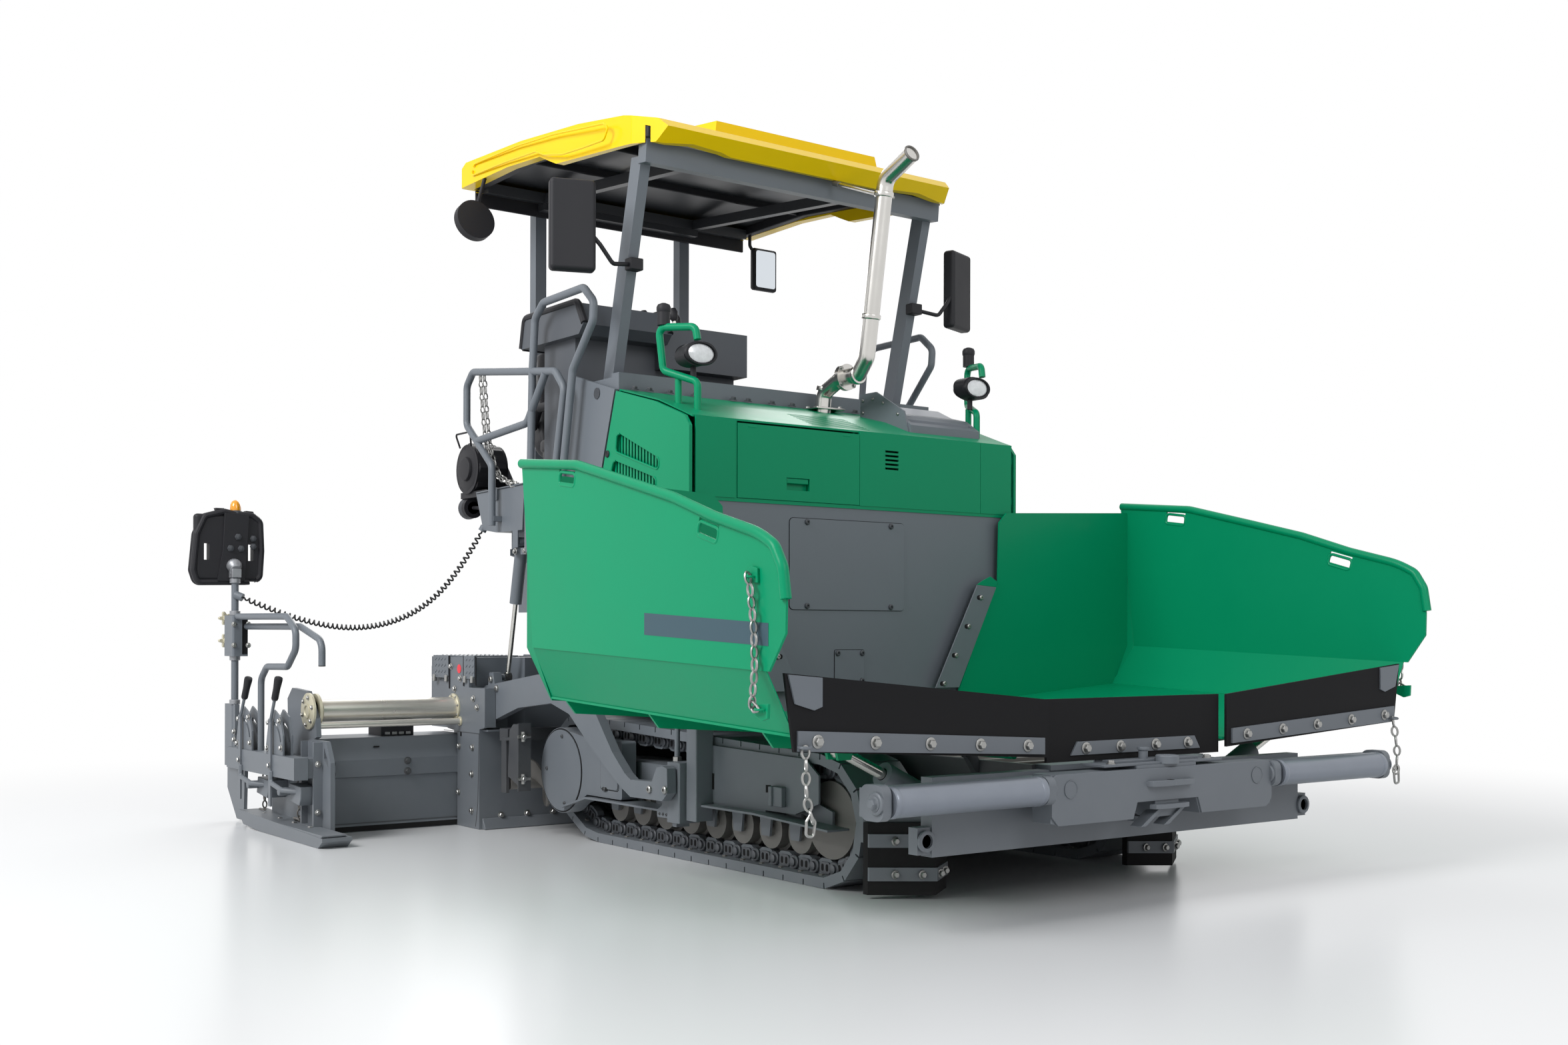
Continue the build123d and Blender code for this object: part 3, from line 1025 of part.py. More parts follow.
# ---------------------------------------------------------------- the assembly
def main():
    os.makedirs("parts", exist_ok=True)
    track = make_track()
    wing, apron, clamp = make_wing(), make_apron(), make_apron_clamp()
    nodes = {
        "chassis_frame": make_chassis(), "track_frames": make_track_frames(),
        "track_left": track, "track_right": right(track), "track_rollers": make_rollers(),
        "track_deflectors": make_deflectors(), "front_crossbeam": make_front_crossbeam(),
        "engine": make_engine(), "conveyor": make_conveyor(), "front_wall": make_front_wall(),
        "hood_shell": make_hood_shell(), "side_panels": make_side_panels(), "hood_flap": make_hood_flap(),
        "side_door_left": make_side_door(), "side_door_right": right(make_side_door()),
        "exhaust_pipe": make_exhaust(), "air_cowl": make_air_cowl(), "platform": make_platform(),
        "console": make_console(), "seats": make_seats(), "rear_kit": make_rear_kit(), "roof_shell": make_roof_shell(),
        "roof_lining": make_roof_lining(), "roof_posts": make_roof_posts(), "handrails": make_handrails(),
        "lamp_brackets": make_lamp_brackets(), "headlamps": make_headlamps(), "mirrors": make_mirrors(),
        "auger_drive": make_auger_drive(), "centre_apron": make_centre_apron(),
        "wing_left": wing, "wing_right": right(wing), "apron_left": apron, "apron_right": right(apron),
        "apron_clamp_left": clamp, "apron_clamp_right": right(clamp),
        "push_beam": make_push_beam(), "tow_carriages": make_tow_carriages(), "tow_arms": make_tow_arms(),
        "screed_frame": make_screed_frame(), "lift_barrels": make_lift_barrels(),
        "lift_rods": make_lift_rods(),
        "cord_right": make_cord(),
    }
    for name, maker in (("push_roller", make_push_roller), ("wing_barrel", make_wing_barrel),
                        ("wing_rod", make_wing_rod), ("guide_tube", make_guide_tube),
                        ("extension", make_extension),
                        ("end_gate", make_end_gate), ("control_panel", make_control_panel),
                        ("auger", make_auger)):
        left = maker()
        nodes[name + "_left"] = left
        nodes[name + "_right"] = right(left)
    for name, shape in nodes.items():
        export_step(Pos(ORIGIN_SHIFT, 0, 0) * shape, f"parts/{name}.step")


if __name__ == "__main__":
    main()
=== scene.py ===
"""Looks of a compact tracked asphalt paver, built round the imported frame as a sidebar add-on.

Every length is in metres. machine(x, y, z) turns a place in the machine's own frame, whose zero is on
the ground under the middle of the tracks, into the frame's. Pieces are numpy grids, lathed profiles
and profiles carried along paths; repeats are whole arrays laid out by matrices.
"""
import json
import math

import bpy
import bmesh
import numpy as np
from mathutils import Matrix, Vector

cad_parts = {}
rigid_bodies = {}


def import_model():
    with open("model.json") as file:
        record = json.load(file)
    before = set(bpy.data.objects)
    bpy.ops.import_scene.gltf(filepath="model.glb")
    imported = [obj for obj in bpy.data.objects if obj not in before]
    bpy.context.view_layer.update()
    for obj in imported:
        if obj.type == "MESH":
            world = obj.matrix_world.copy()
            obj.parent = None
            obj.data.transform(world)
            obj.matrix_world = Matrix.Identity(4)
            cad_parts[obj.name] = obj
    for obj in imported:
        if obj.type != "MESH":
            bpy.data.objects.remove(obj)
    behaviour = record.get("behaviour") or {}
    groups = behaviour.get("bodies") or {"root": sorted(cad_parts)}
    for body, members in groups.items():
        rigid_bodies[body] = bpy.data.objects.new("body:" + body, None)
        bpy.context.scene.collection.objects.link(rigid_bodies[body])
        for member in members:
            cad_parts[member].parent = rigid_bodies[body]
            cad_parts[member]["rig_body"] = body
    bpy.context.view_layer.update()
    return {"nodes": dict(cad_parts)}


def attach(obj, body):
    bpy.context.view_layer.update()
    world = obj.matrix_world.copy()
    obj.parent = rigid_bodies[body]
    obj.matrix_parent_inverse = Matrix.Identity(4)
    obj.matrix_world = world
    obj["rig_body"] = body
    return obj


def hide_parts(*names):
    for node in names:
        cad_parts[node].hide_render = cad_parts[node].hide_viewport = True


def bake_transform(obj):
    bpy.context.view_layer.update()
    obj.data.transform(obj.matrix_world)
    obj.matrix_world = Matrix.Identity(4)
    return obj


bl_info = {
    "name": "Asphalt paver finish",
    "version": (1, 0, 0),
    "blender": (4, 5, 0),
    "location": "3D View > Sidebar > Paver",
    "description": "Paint, rubber, steel and small parts of a compact tracked asphalt paver",
    "category": "Object",
}

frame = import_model()
NODES = frame["nodes"]
SHIFT = 0.46125                       # machine zero lies this far forward of the frame's origin
SIDES = (("right", -1), ("left", 1))
SHARP_ANGLE = math.radians(35)        # edges sharper than this stay crisp
DUST_TOP = 0.75                       # dust thins out up to this height
DARK_POSTS_FROM = 2.93                # the roof's posts are dark above this height
ROLLER_X, ROLLER_Z = 1.670, 0.406     # axle of the push rollers
GUIDE_X, GUIDE_Z = -1.768, 0.552      # centre line of the screed's guide tubes
TRACK_Y = 0.645                       # centre of each track
SHOE_PITCH = 0.1227
PIN_DEPTH, SHOE_DEPTH = 0.064, 0.034  # below the shoes' outer faces
SEAT_Y, SEAT_LEAN = 0.400, -0.155
MIRROR_TURN = math.radians(20)


def machine(x, y, z):
    return np.array([x + SHIFT, y, z], float)


def srgb(red, green, blue):
    """Linear colour from the 0 to 255 values of a paint chart."""
    def line(c):
        c /= 255
        return c / 12.92 if c <= 0.04045 else ((c + 0.055) / 1.055) ** 2.4
    return (line(red), line(green), line(blue))


# ---------------------------------------------------------------- settings
class PaverColours(bpy.types.PropertyGroup):
    """Colours of the machine's finishes."""
    body: bpy.props.FloatVectorProperty(name="Body paint", description="Green of hopper and hood",
                                        default=srgb(0, 142, 98), size=3, subtype="COLOR", min=0, max=1)
    frame: bpy.props.FloatVectorProperty(name="Frame paint",
                                         description="Grey of frames, screed and covers",
                                         default=srgb(104, 110, 117), size=3, subtype="COLOR", min=0, max=1)
    roof: bpy.props.FloatVectorProperty(name="Roof", description="Yellow of the moulded roof",
                                        default=srgb(246, 206, 0), size=3, subtype="COLOR", min=0, max=1)
    rubber: bpy.props.FloatVectorProperty(name="Rubber", description="Skirts, deflectors and covers",
                                          default=srgb(26, 26, 28), size=3, subtype="COLOR", min=0, max=1)
    stripe: bpy.props.FloatVectorProperty(name="Stripe", description="Plain stripe on the hopper's side",
                                          default=srgb(66, 88, 98), size=3, subtype="COLOR", min=0, max=1)


class PaverSizes(bpy.types.PropertyGroup):
    """Sizes of the fittings that a user may change."""
    bolt: bpy.props.FloatProperty(name="Bolt", description="Width of a bolt's head across its flats",
                                  default=0.026, unit="LENGTH")
    chain: bpy.props.FloatProperty(name="Chain link", description="Outside length of one chain link",
                                   default=0.046, unit="LENGTH")
    cord_wire: bpy.props.FloatProperty(name="Cord", description="Diameter of the curly cord's own lead",
                                       default=0.0085, unit="LENGTH")
    cord_turns: bpy.props.IntProperty(name="Cord turns", description="Turns of the curly cord", default=58)


def colours():
    return bpy.context.scene.paver_colours


def sizes():
    return bpy.context.scene.paver_sizes


# ---------------------------------------------------------------- materials
def add_node(tree, kind, **values):
    """A shader node with some of its inputs and settings filled in."""
    one = tree.nodes.new(kind)
    for key, value in values.items():
        if key in one.inputs:
            one.inputs[key].default_value = value
        else:
            setattr(one, key, value)
    return one


def finish(name, colour, rough=0.45, metal=0.0, tone=0.08, tone_scale=6.0, grain=0.0006, grain_scale=220.0,
           dust=0.0, coat=0.0, shine=0.5, brushed=None):
    """A finish whose tone drifts with broad noise, over fine grain, with dust gathering low down."""
    made = bpy.data.materials.get(name)
    if made:
        return made
    made = bpy.data.materials.new(name)
    made.use_nodes = True
    tree = made.node_tree
    shader = tree.nodes["Principled BSDF"]
    shader.inputs["Metallic"].default_value = metal
    shader.inputs["Coat Weight"].default_value = coat
    shader.inputs["Coat Roughness"].default_value = 0.12
    shader.inputs["Specular IOR Level"].default_value = shine

    def node(kind, **values):
        return add_node(tree, kind, **values)

    def link(a, b):
        tree.links.new(a, b)

    place = node("ShaderNodeTexCoord").outputs["Object"]
    if brushed:
        stretch = node("ShaderNodeMapping")
        stretch.inputs["Scale"].default_value = brushed
        link(place, stretch.inputs["Vector"])
        fine_place = stretch.outputs["Vector"]
    else:
        fine_place = place
    broad = node("ShaderNodeTexNoise", Scale=tone_scale, Detail=5.0, Roughness=0.6)
    fine = node("ShaderNodeTexNoise", Scale=grain_scale, Detail=3.0)
    link(place, broad.inputs["Vector"])
    link(fine_place, fine.inputs["Vector"])
    shade = node("ShaderNodeMapRange")
    shade.inputs["To Min"].default_value = 1 - tone
    shade.inputs["To Max"].default_value = 1 + tone
    link(broad.outputs["Fac"], shade.inputs["Value"])
    paint = node("ShaderNodeMix", data_type="RGBA", blend_type="MULTIPLY")
    paint.inputs["Factor"].default_value = 1.0
    paint.inputs["A"].default_value = (*colour, 1)
    link(shade.outputs["Result"], paint.inputs["B"])
    top = paint.outputs["Result"]
    if dust:
        split = node("ShaderNodeSeparateXYZ")
        link(place, split.inputs["Vector"])
        low = node("ShaderNodeMapRange")
        low.inputs["From Min"].default_value = DUST_TOP
        low.inputs["From Max"].default_value = 0.0
        low.inputs["To Max"].default_value = dust
        link(split.outputs["Z"], low.inputs["Value"])
        patch = node("ShaderNodeMath", operation="MULTIPLY")
        link(low.outputs["Result"], patch.inputs[0])
        link(broad.outputs["Fac"], patch.inputs[1])
        dusty = node("ShaderNodeMix", data_type="RGBA")
        dusty.inputs["B"].default_value = (*srgb(150, 146, 138), 1)
        link(patch.outputs["Value"], dusty.inputs["Factor"])
        link(top, dusty.inputs["A"])
        top = dusty.outputs["Result"]
    link(top, shader.inputs["Base Color"])
    gloss = node("ShaderNodeMapRange")
    gloss.inputs["To Min"].default_value = max(0.02, rough - 0.07)
    gloss.inputs["To Max"].default_value = min(1.0, rough + 0.07)
    link(broad.outputs["Fac"], gloss.inputs["Value"])
    link(gloss.outputs["Result"], shader.inputs["Roughness"])
    bump = node("ShaderNodeBump", Strength=0.35, Distance=grain)
    link(fine.outputs["Fac"], bump.inputs["Height"])
    link(bump.outputs["Normal"], shader.inputs["Normal"])
    return made


def green_paint():
    return finish("green_gloss", tuple(colours().body), rough=0.36, coat=0.04, shine=0.16,
                  tone=0.04, tone_scale=2.5, grain=0.00012)


def grey_paint():
    return finish("grey_satin", tuple(colours().frame), rough=0.46, tone=0.06, tone_scale=5, dust=0.2,
                  grain=0.0003)


def dark_paint():
    return finish("dark_satin", srgb(60, 63, 68), rough=0.5, tone=0.1, dust=0.25)


def black_plastic():
    return finish("black_moulded", srgb(34, 34, 38), rough=0.55, shine=0.3, tone=0.08, grain=0.0005,
                  grain_scale=420)


def rubber():
    return finish("black_rubber", tuple(colours().rubber), rough=0.72, shine=0.15, tone=0.14, grain=0.0007,
                  grain_scale=160, dust=0.05)


def cord_black():
    return finish("cord_black", srgb(18, 18, 20), rough=0.5, tone=0.1, grain=0.0002)


def bright_steel():
    return finish("bright_steel", srgb(205, 203, 198), rough=0.24, metal=1.0, tone=0.05, grain=0.0001)


def polished_tube():
    return finish("polished_tube", srgb(226, 222, 212), rough=0.3, metal=0.75, tone=0.05,
                  brushed=(1, 40, 1), grain=0.0002)


def stainless():
    return finish("stainless_pipe", srgb(206, 204, 200), rough=0.24, metal=1.0, tone=0.05, tone_scale=9,
                  grain=0.00005)


def zinc():
    return finish("zinc_plated", srgb(158, 158, 156), rough=0.34, metal=0.9, tone=0.15, tone_scale=60,
                  grain=0.0002)


def worn_steel():
    return finish("worn_steel", srgb(74, 76, 81), rough=0.46, metal=0.5, tone=0.25, tone_scale=22,
                  dust=0.2, grain=0.0008)


def roller_steel():
    return finish("roller_steel", srgb(132, 138, 148), rough=0.34, metal=0.55, tone=0.08, tone_scale=12,
                  grain=0.0002)


def dark_lining():
    return finish("dark_lining", srgb(44, 46, 50), rough=0.42, tone=0.08, tone_scale=4, grain=0.0003)


def console_grey():
    return finish("console_grey", srgb(78, 82, 88), rough=0.5, tone=0.06, grain=0.0004, grain_scale=300)


def cream_zinc():
    return finish("cream_zinc", srgb(206, 200, 176), rough=0.42, metal=0.35, tone=0.08, tone_scale=30)


def lamp_glass():
    return finish("lamp_lens", srgb(224, 226, 228), rough=0.18, metal=0.35, tone=0.22, tone_scale=70,
                  grain=0.0012, grain_scale=90, coat=0.6)


def display():
    return finish("display", srgb(34, 44, 52), rough=0.12, coat=0.7, tone=0.05)


def key_caps():
    return finish("keys", srgb(186, 188, 192), rough=0.5, tone=0.2, tone_scale=60)


def roof_yellow():
    return finish("yellow_moulded", tuple(colours().roof), rough=0.3, coat=0.08, shine=0.2, tone=0.03,
                  tone_scale=2,
                  grain=0.0001)


NODES_OF_FINISH = {
    green_paint: "wing_left wing_right hood_shell hood_flap side_door_left side_door_right lamp_brackets",
    rubber: "apron_left apron_right centre_apron track_deflectors",
    stainless: "exhaust_pipe",
    roof_yellow: "roof_shell",
    dark_lining: "roof_lining",
    dark_paint: "chassis_frame auger_drive",
    black_plastic: "rear_kit seats headlamps mirrors control_panel_left control_panel_right",
    console_grey: "console",
    worn_steel: "engine conveyor auger_left auger_right track_rollers",
    roller_steel: "push_roller_left push_roller_right",
    bright_steel: "wing_rod_left wing_rod_right lift_rods",
    polished_tube: "guide_tube_left guide_tube_right",
}
NODE_FINISH = {name: make for make, names in NODES_OF_FINISH.items() for name in names.split()}


# ---------------------------------------------------------------- mesh making
def mesh_piece(name, verts, faces, material, body, bevel=0.0):
    """Object of one mesh at the origin, faces outward, with bevelled edges if asked; body None leaves it unridden."""
    mesh = bpy.data.meshes.new(name)
    mesh.from_pydata(np.asarray(verts, float).tolist(), [], [list(map(int, f)) for f in faces])
    mesh.validate()
    shape = bmesh.new()
    shape.from_mesh(mesh)
    bmesh.ops.recalc_face_normals(shape, faces=shape.faces)
    shape.to_mesh(mesh)
    shape.free()
    mesh.materials.append(material)
    piece = bpy.data.objects.new(name, mesh)
    bpy.context.scene.collection.objects.link(piece)
    mesh.polygons.foreach_set("use_smooth", np.ones(len(mesh.polygons), bool))
    mesh.set_sharp_from_angle(angle=SHARP_ANGLE)
    if bevel:
        edge = piece.modifiers.new("edges", "BEVEL")
        edge.width, edge.segments, edge.limit_method = bevel, 2, "ANGLE"
    if body:
        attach(piece, body)
    return piece


def join(parts):
    """One (vertices, faces) pair from many, with each part's face numbers moved past the last's."""
    verts, faces, base = [], [], 0
    for v, f in parts:
        verts.append(np.asarray(v, float))
        faces += [[i + base for i in face] for face in f]
        base += len(v)
    return np.concatenate(verts), faces


def grid_faces(rows, columns, wrap_rows=False, wrap_columns=False):
    """Quads of a grid of rows by columns points, closed round either way if asked."""
    r = np.arange(rows if wrap_rows else rows - 1)[:, None]
    c = np.arange(columns if wrap_columns else columns - 1)[None, :]
    after_r, after_c = (r + 1) % rows, (c + 1) % columns
    quads = np.stack([r * columns + c, r * columns + after_c, after_r * columns + after_c,
                      after_r * columns + c], -1)
    return quads.reshape(-1, 4).tolist()


def frames_along(path):
    """Unit tangents and two normals at each point, the normals carried along without twist."""
    path = np.asarray(path, float)
    tangent = np.gradient(path, axis=0)
    tangent /= np.linalg.norm(tangent, axis=1)[:, None]
    start = np.cross(tangent[0], (0, 0, 1.0))
    if np.linalg.norm(start) < 0.1:
        start = np.cross(tangent[0], (0, 1.0, 0))
    normals = [start / np.linalg.norm(start)]
    for t in tangent[1:]:
        n = normals[-1] - t * (normals[-1] @ t)
        normals.append(n / np.linalg.norm(n))
    normal = np.array(normals)
    return tangent, normal, np.cross(tangent, normal)


def tube(path, radius, sides=12):
    """A circle carried along a path: centre + radius (cos a n + sin a b), closed by a disc at each end."""
    path = np.asarray(path, float)
    _, normal, other = frames_along(path)
    a = np.linspace(0, 2 * np.pi, sides, endpoint=False)
    ring = np.cos(a)[None, :, None] * normal[:, None, :] + np.sin(a)[None, :, None] * other[:, None, :]
    radii = np.broadcast_to(np.asarray(radius, float), (len(path),))
    verts = (path[:, None, :] + ring * radii[:, None, None]).reshape(-1, 3)
    faces = grid_faces(len(path), sides, wrap_columns=True)
    last = (len(path) - 1) * sides
    faces += [list(range(sides))[::-1], list(range(last, last + sides))]
    return verts, faces


def bent(points, bend, steps=7):
    """Straight runs joined by round corners: each corner gives way to points on its tangent arc."""
    points = [np.asarray(p, float) for p in points]
    line = [points[0]]
    for before, at, after in zip(points, points[1:], points[2:]):
        a, b = before - at, after - at
        la, lb = np.linalg.norm(a), np.linalg.norm(b)
        a, b = a / la, b / lb
        half = math.acos(max(-1.0, min(1.0, float(a @ b)))) / 2
        reach = min(bend / math.tan(half), 0.48 * la, 0.48 * lb)
        radius = reach * math.tan(half)
        middle = a + b
        centre = at + middle / np.linalg.norm(middle) * (radius / math.sin(half))
        start, end = at + a * reach - centre, at + b * reach - centre
        sweep = math.pi - 2 * half
        t = np.linspace(0, 1, steps)[:, None]
        line += list(centre + (np.sin((1 - t) * sweep) * start + np.sin(t * sweep) * end) / math.sin(sweep))
    line.append(points[-1])
    return np.array(line)


def lathe(profile, centre, axis, sides=24):
    """A profile of (distance along the axis, radius) pairs turned round the axis, its ends closed."""
    axis = np.asarray(axis, float) / np.linalg.norm(axis)
    side = np.cross(axis, (0, 0, 1.0) if abs(axis[2]) < 0.9 else (1.0, 0, 0))
    side /= np.linalg.norm(side)
    other = np.cross(axis, side)
    profile = np.asarray(profile, float)
    a = np.linspace(0, 2 * np.pi, sides, endpoint=False)
    ring = np.cos(a)[:, None] * side + np.sin(a)[:, None] * other
    verts = (np.asarray(centre, float) + profile[:, None, :1] * axis + profile[:, None,
                                                                               1:] * ring[None]).reshape(-1, 3)
    faces = grid_faces(len(profile), sides, wrap_columns=True)
    last = (len(profile) - 1) * sides
    faces += [list(range(sides))[::-1], list(range(last, last + sides))]
    return verts, faces


def plate(outline, axis, low, high):
    """A flat outline of (u, v) points carried from low to high along 'x' (y, z), 'y' (x, z) or 'z' (x, y)."""
    outline = np.asarray(outline, float)
    order = {"x": (2, 0, 1), "y": (0, 2, 1), "z": (0, 1, 2)}[axis]
    layers = [np.column_stack([outline, np.full(len(outline), level)])[:, order] for level in (low, high)]
    n = len(outline)
    faces = [[i, (i + 1) % n, (i + 1) % n + n, i + n] for i in range(n)]
    faces += [list(range(n))[::-1], list(range(n, 2 * n))]
    area = np.sum(outline[:, 0] * np.roll(outline[:, 1], -1) - np.roll(outline[:, 0], -1) * outline[:, 1])
    if (area > 0) == (axis == "y"):
        faces = [f[::-1] for f in faces]
    return np.concatenate(layers), faces


def brick(x, y, z):
    return plate([(x[0], y[0]), (x[1], y[0]), (x[1], y[1]), (x[0], y[1])], "z", *z)


def shifted(part, offset):
    verts, faces = part
    return np.asarray(verts) + np.asarray(offset, float), faces


def to_frame(part):
    """A part drawn in the machine's frame, moved into the row's."""
    return shifted(part, (SHIFT, 0, 0))


def mirrored(part, side):
    """The part itself on the left, or its mirror image, turned the right way out, on the right."""
    verts, faces = part
    if side > 0:
        return part
    return np.asarray(verts) * (1, -1, 1), [list(f)[::-1] for f in faces]


def stamped(part, places):
    """Copies of a part at many places: every vertex plus every place, faces numbered on."""
    verts, faces = part
    places = np.asarray(places, float).reshape(-1, 3)
    moved = (np.asarray(verts)[None] + places[:, None]).reshape(-1, 3)
    return moved, [[i + k * len(verts) for i in face] for k in range(len(places)) for face in faces]


def hex_bolt(axis, width=None):
    """Washer and six-sided head, each a stepped profile turned round the bolt's axis."""
    w = width or sizes().bolt
    washer = lathe([(0, w * 0.8), (w * 0.12, w * 0.8), (w * 0.15, w * 0.75)], (0, 0, 0), axis, sides=14)
    head = lathe([(w * 0.1, w * 0.56), (w * 0.52, w * 0.56), (w * 0.64, w * 0.46)], (0, 0, 0), axis,
                 sides=6)
    return join([washer, head])


def socket_bolt(axis, width=0.018):
    """Low round head with a hollow: a profile turned round the bolt's axis."""
    w = width
    return lathe([(0, w * 0.62), (w * 0.3, w * 0.58), (w * 0.42, w * 0.42), (w * 0.42, w * 0.24),
                  (w * 0.15, w * 0.2)],
                 (0, 0, 0), axis, sides=12)


LINK_STEPS, WIRE_SIDES = 14, 6        # points round a chain link, and round its wire


def chain(path, link=None):
    """Links along a path: each an oval a cos t, b sin t of round wire, a quarter turn on from the last."""
    link = link or sizes().chain
    wire = link * 0.095
    a, b = link / 2 - wire, link * 0.24
    path = np.asarray(path, float)
    along = np.concatenate([[0], np.cumsum(np.linalg.norm(np.diff(path, axis=0), axis=1))])
    count = max(3, int(round(along[-1] / (2 * a - wire))))
    at = np.linspace(0, along[-1], count)
    centre = np.column_stack([np.interp(at, along, path[:, k]) for k in range(3)])
    way, one, two = frames_along(centre)
    flip = (np.arange(count) % 2 == 0)[:, None]
    across, out = np.where(flip, one, two), np.where(flip, two, one)
    t = np.linspace(0, 2 * np.pi, LINK_STEPS, endpoint=False)[None, :, None]
    ring = centre[:, None] + a * np.cos(t) * way[:, None] + b * np.sin(t) * across[:, None]
    edge = np.cos(t) / a * way[:, None] + np.sin(t) / b * across[:, None]
    edge /= np.linalg.norm(edge, axis=2)[:, :, None]
    s = np.linspace(0, 2 * np.pi, WIRE_SIDES, endpoint=False)[None, None, :, None]
    skin = ring[:, :, None] + wire * (np.cos(s) * edge[:, :, None] + np.sin(s) * out[:, None, None])
    faces = grid_faces(LINK_STEPS, WIRE_SIDES, wrap_rows=True, wrap_columns=True)
    return skin.reshape(-1, 3), [[i + k * LINK_STEPS * WIRE_SIDES for i in face] for k in range(count) for face in faces]


def rounded(u, v, radius, steps=5):
    """Corner arcs of a rectangle between low and high u and v, as one outline."""
    turn = np.linspace(0, np.pi / 2, steps)
    corners = [(u[1] - radius, v[1] - radius, 0), (u[0] + radius, v[1] - radius, 1),
               (u[0] + radius, v[0] + radius, 2),
               (u[1] - radius, v[0] + radius, 3)]
    return np.concatenate([np.column_stack([cu + radius * np.cos(turn + k * np.pi / 2),
                                            cv + radius * np.sin(turn + k * np.pi / 2)]) for cu, cv,
                                            k in corners])


def seam(u, v, radius, width, axis, low, high):
    """Flat closed strip that follows a rounded rectangle: four edge lines joined round into a ring."""
    outer = rounded(u, v, radius)
    inner = rounded((u[0] + width, u[1] - width), (v[0] + width, v[1] - width), max(radius - width, 0.001))
    order = {"x": (2, 0, 1), "y": (0, 2, 1), "z": (0, 1, 2)}[axis]
    lines = [np.column_stack([line, np.full(len(line), level)])[:, order]
             for line, level in ((outer, low), (outer, high), (inner, high), (inner, low))]
    return np.stack(lines, 1).reshape(-1, 3), grid_faces(len(outer), 4, wrap_rows=True, wrap_columns=True)


def fit(name, parts, material, body, side=1, bevel=0.0):
    """One piece from parts drawn on the machine's left side, mirrored over if need be."""
    verts, faces = to_frame(mirrored(join(parts), side))
    return mesh_piece(name, verts, faces, material, body, bevel)


# ---------------------------------------------------------------- operators
class PAVER_OT_paint(bpy.types.Operator):
    """Give each carried-over part its paint, rubber or steel"""
    bl_idname = "paver.paint"
    bl_label = "Paint the machine"

    def execute(self, context):
        for name, node in NODES.items():
            make = NODE_FINISH.get(name, grey_paint)
            node.data.materials.clear()
            node.data.materials.append(make())
        # the beams under the roof are dark, the posts below them grey
        posts = NODES["roof_posts"].data
        posts.materials.append(dark_lining())
        middle = np.empty(len(posts.polygons) * 3)
        posts.polygons.foreach_get("center", middle)
        posts.polygons.foreach_set("material_index",
                                   (middle.reshape(-1, 3)[:, 2] > DARK_POSTS_FROM).astype(np.int32))
        return {"FINISHED"}


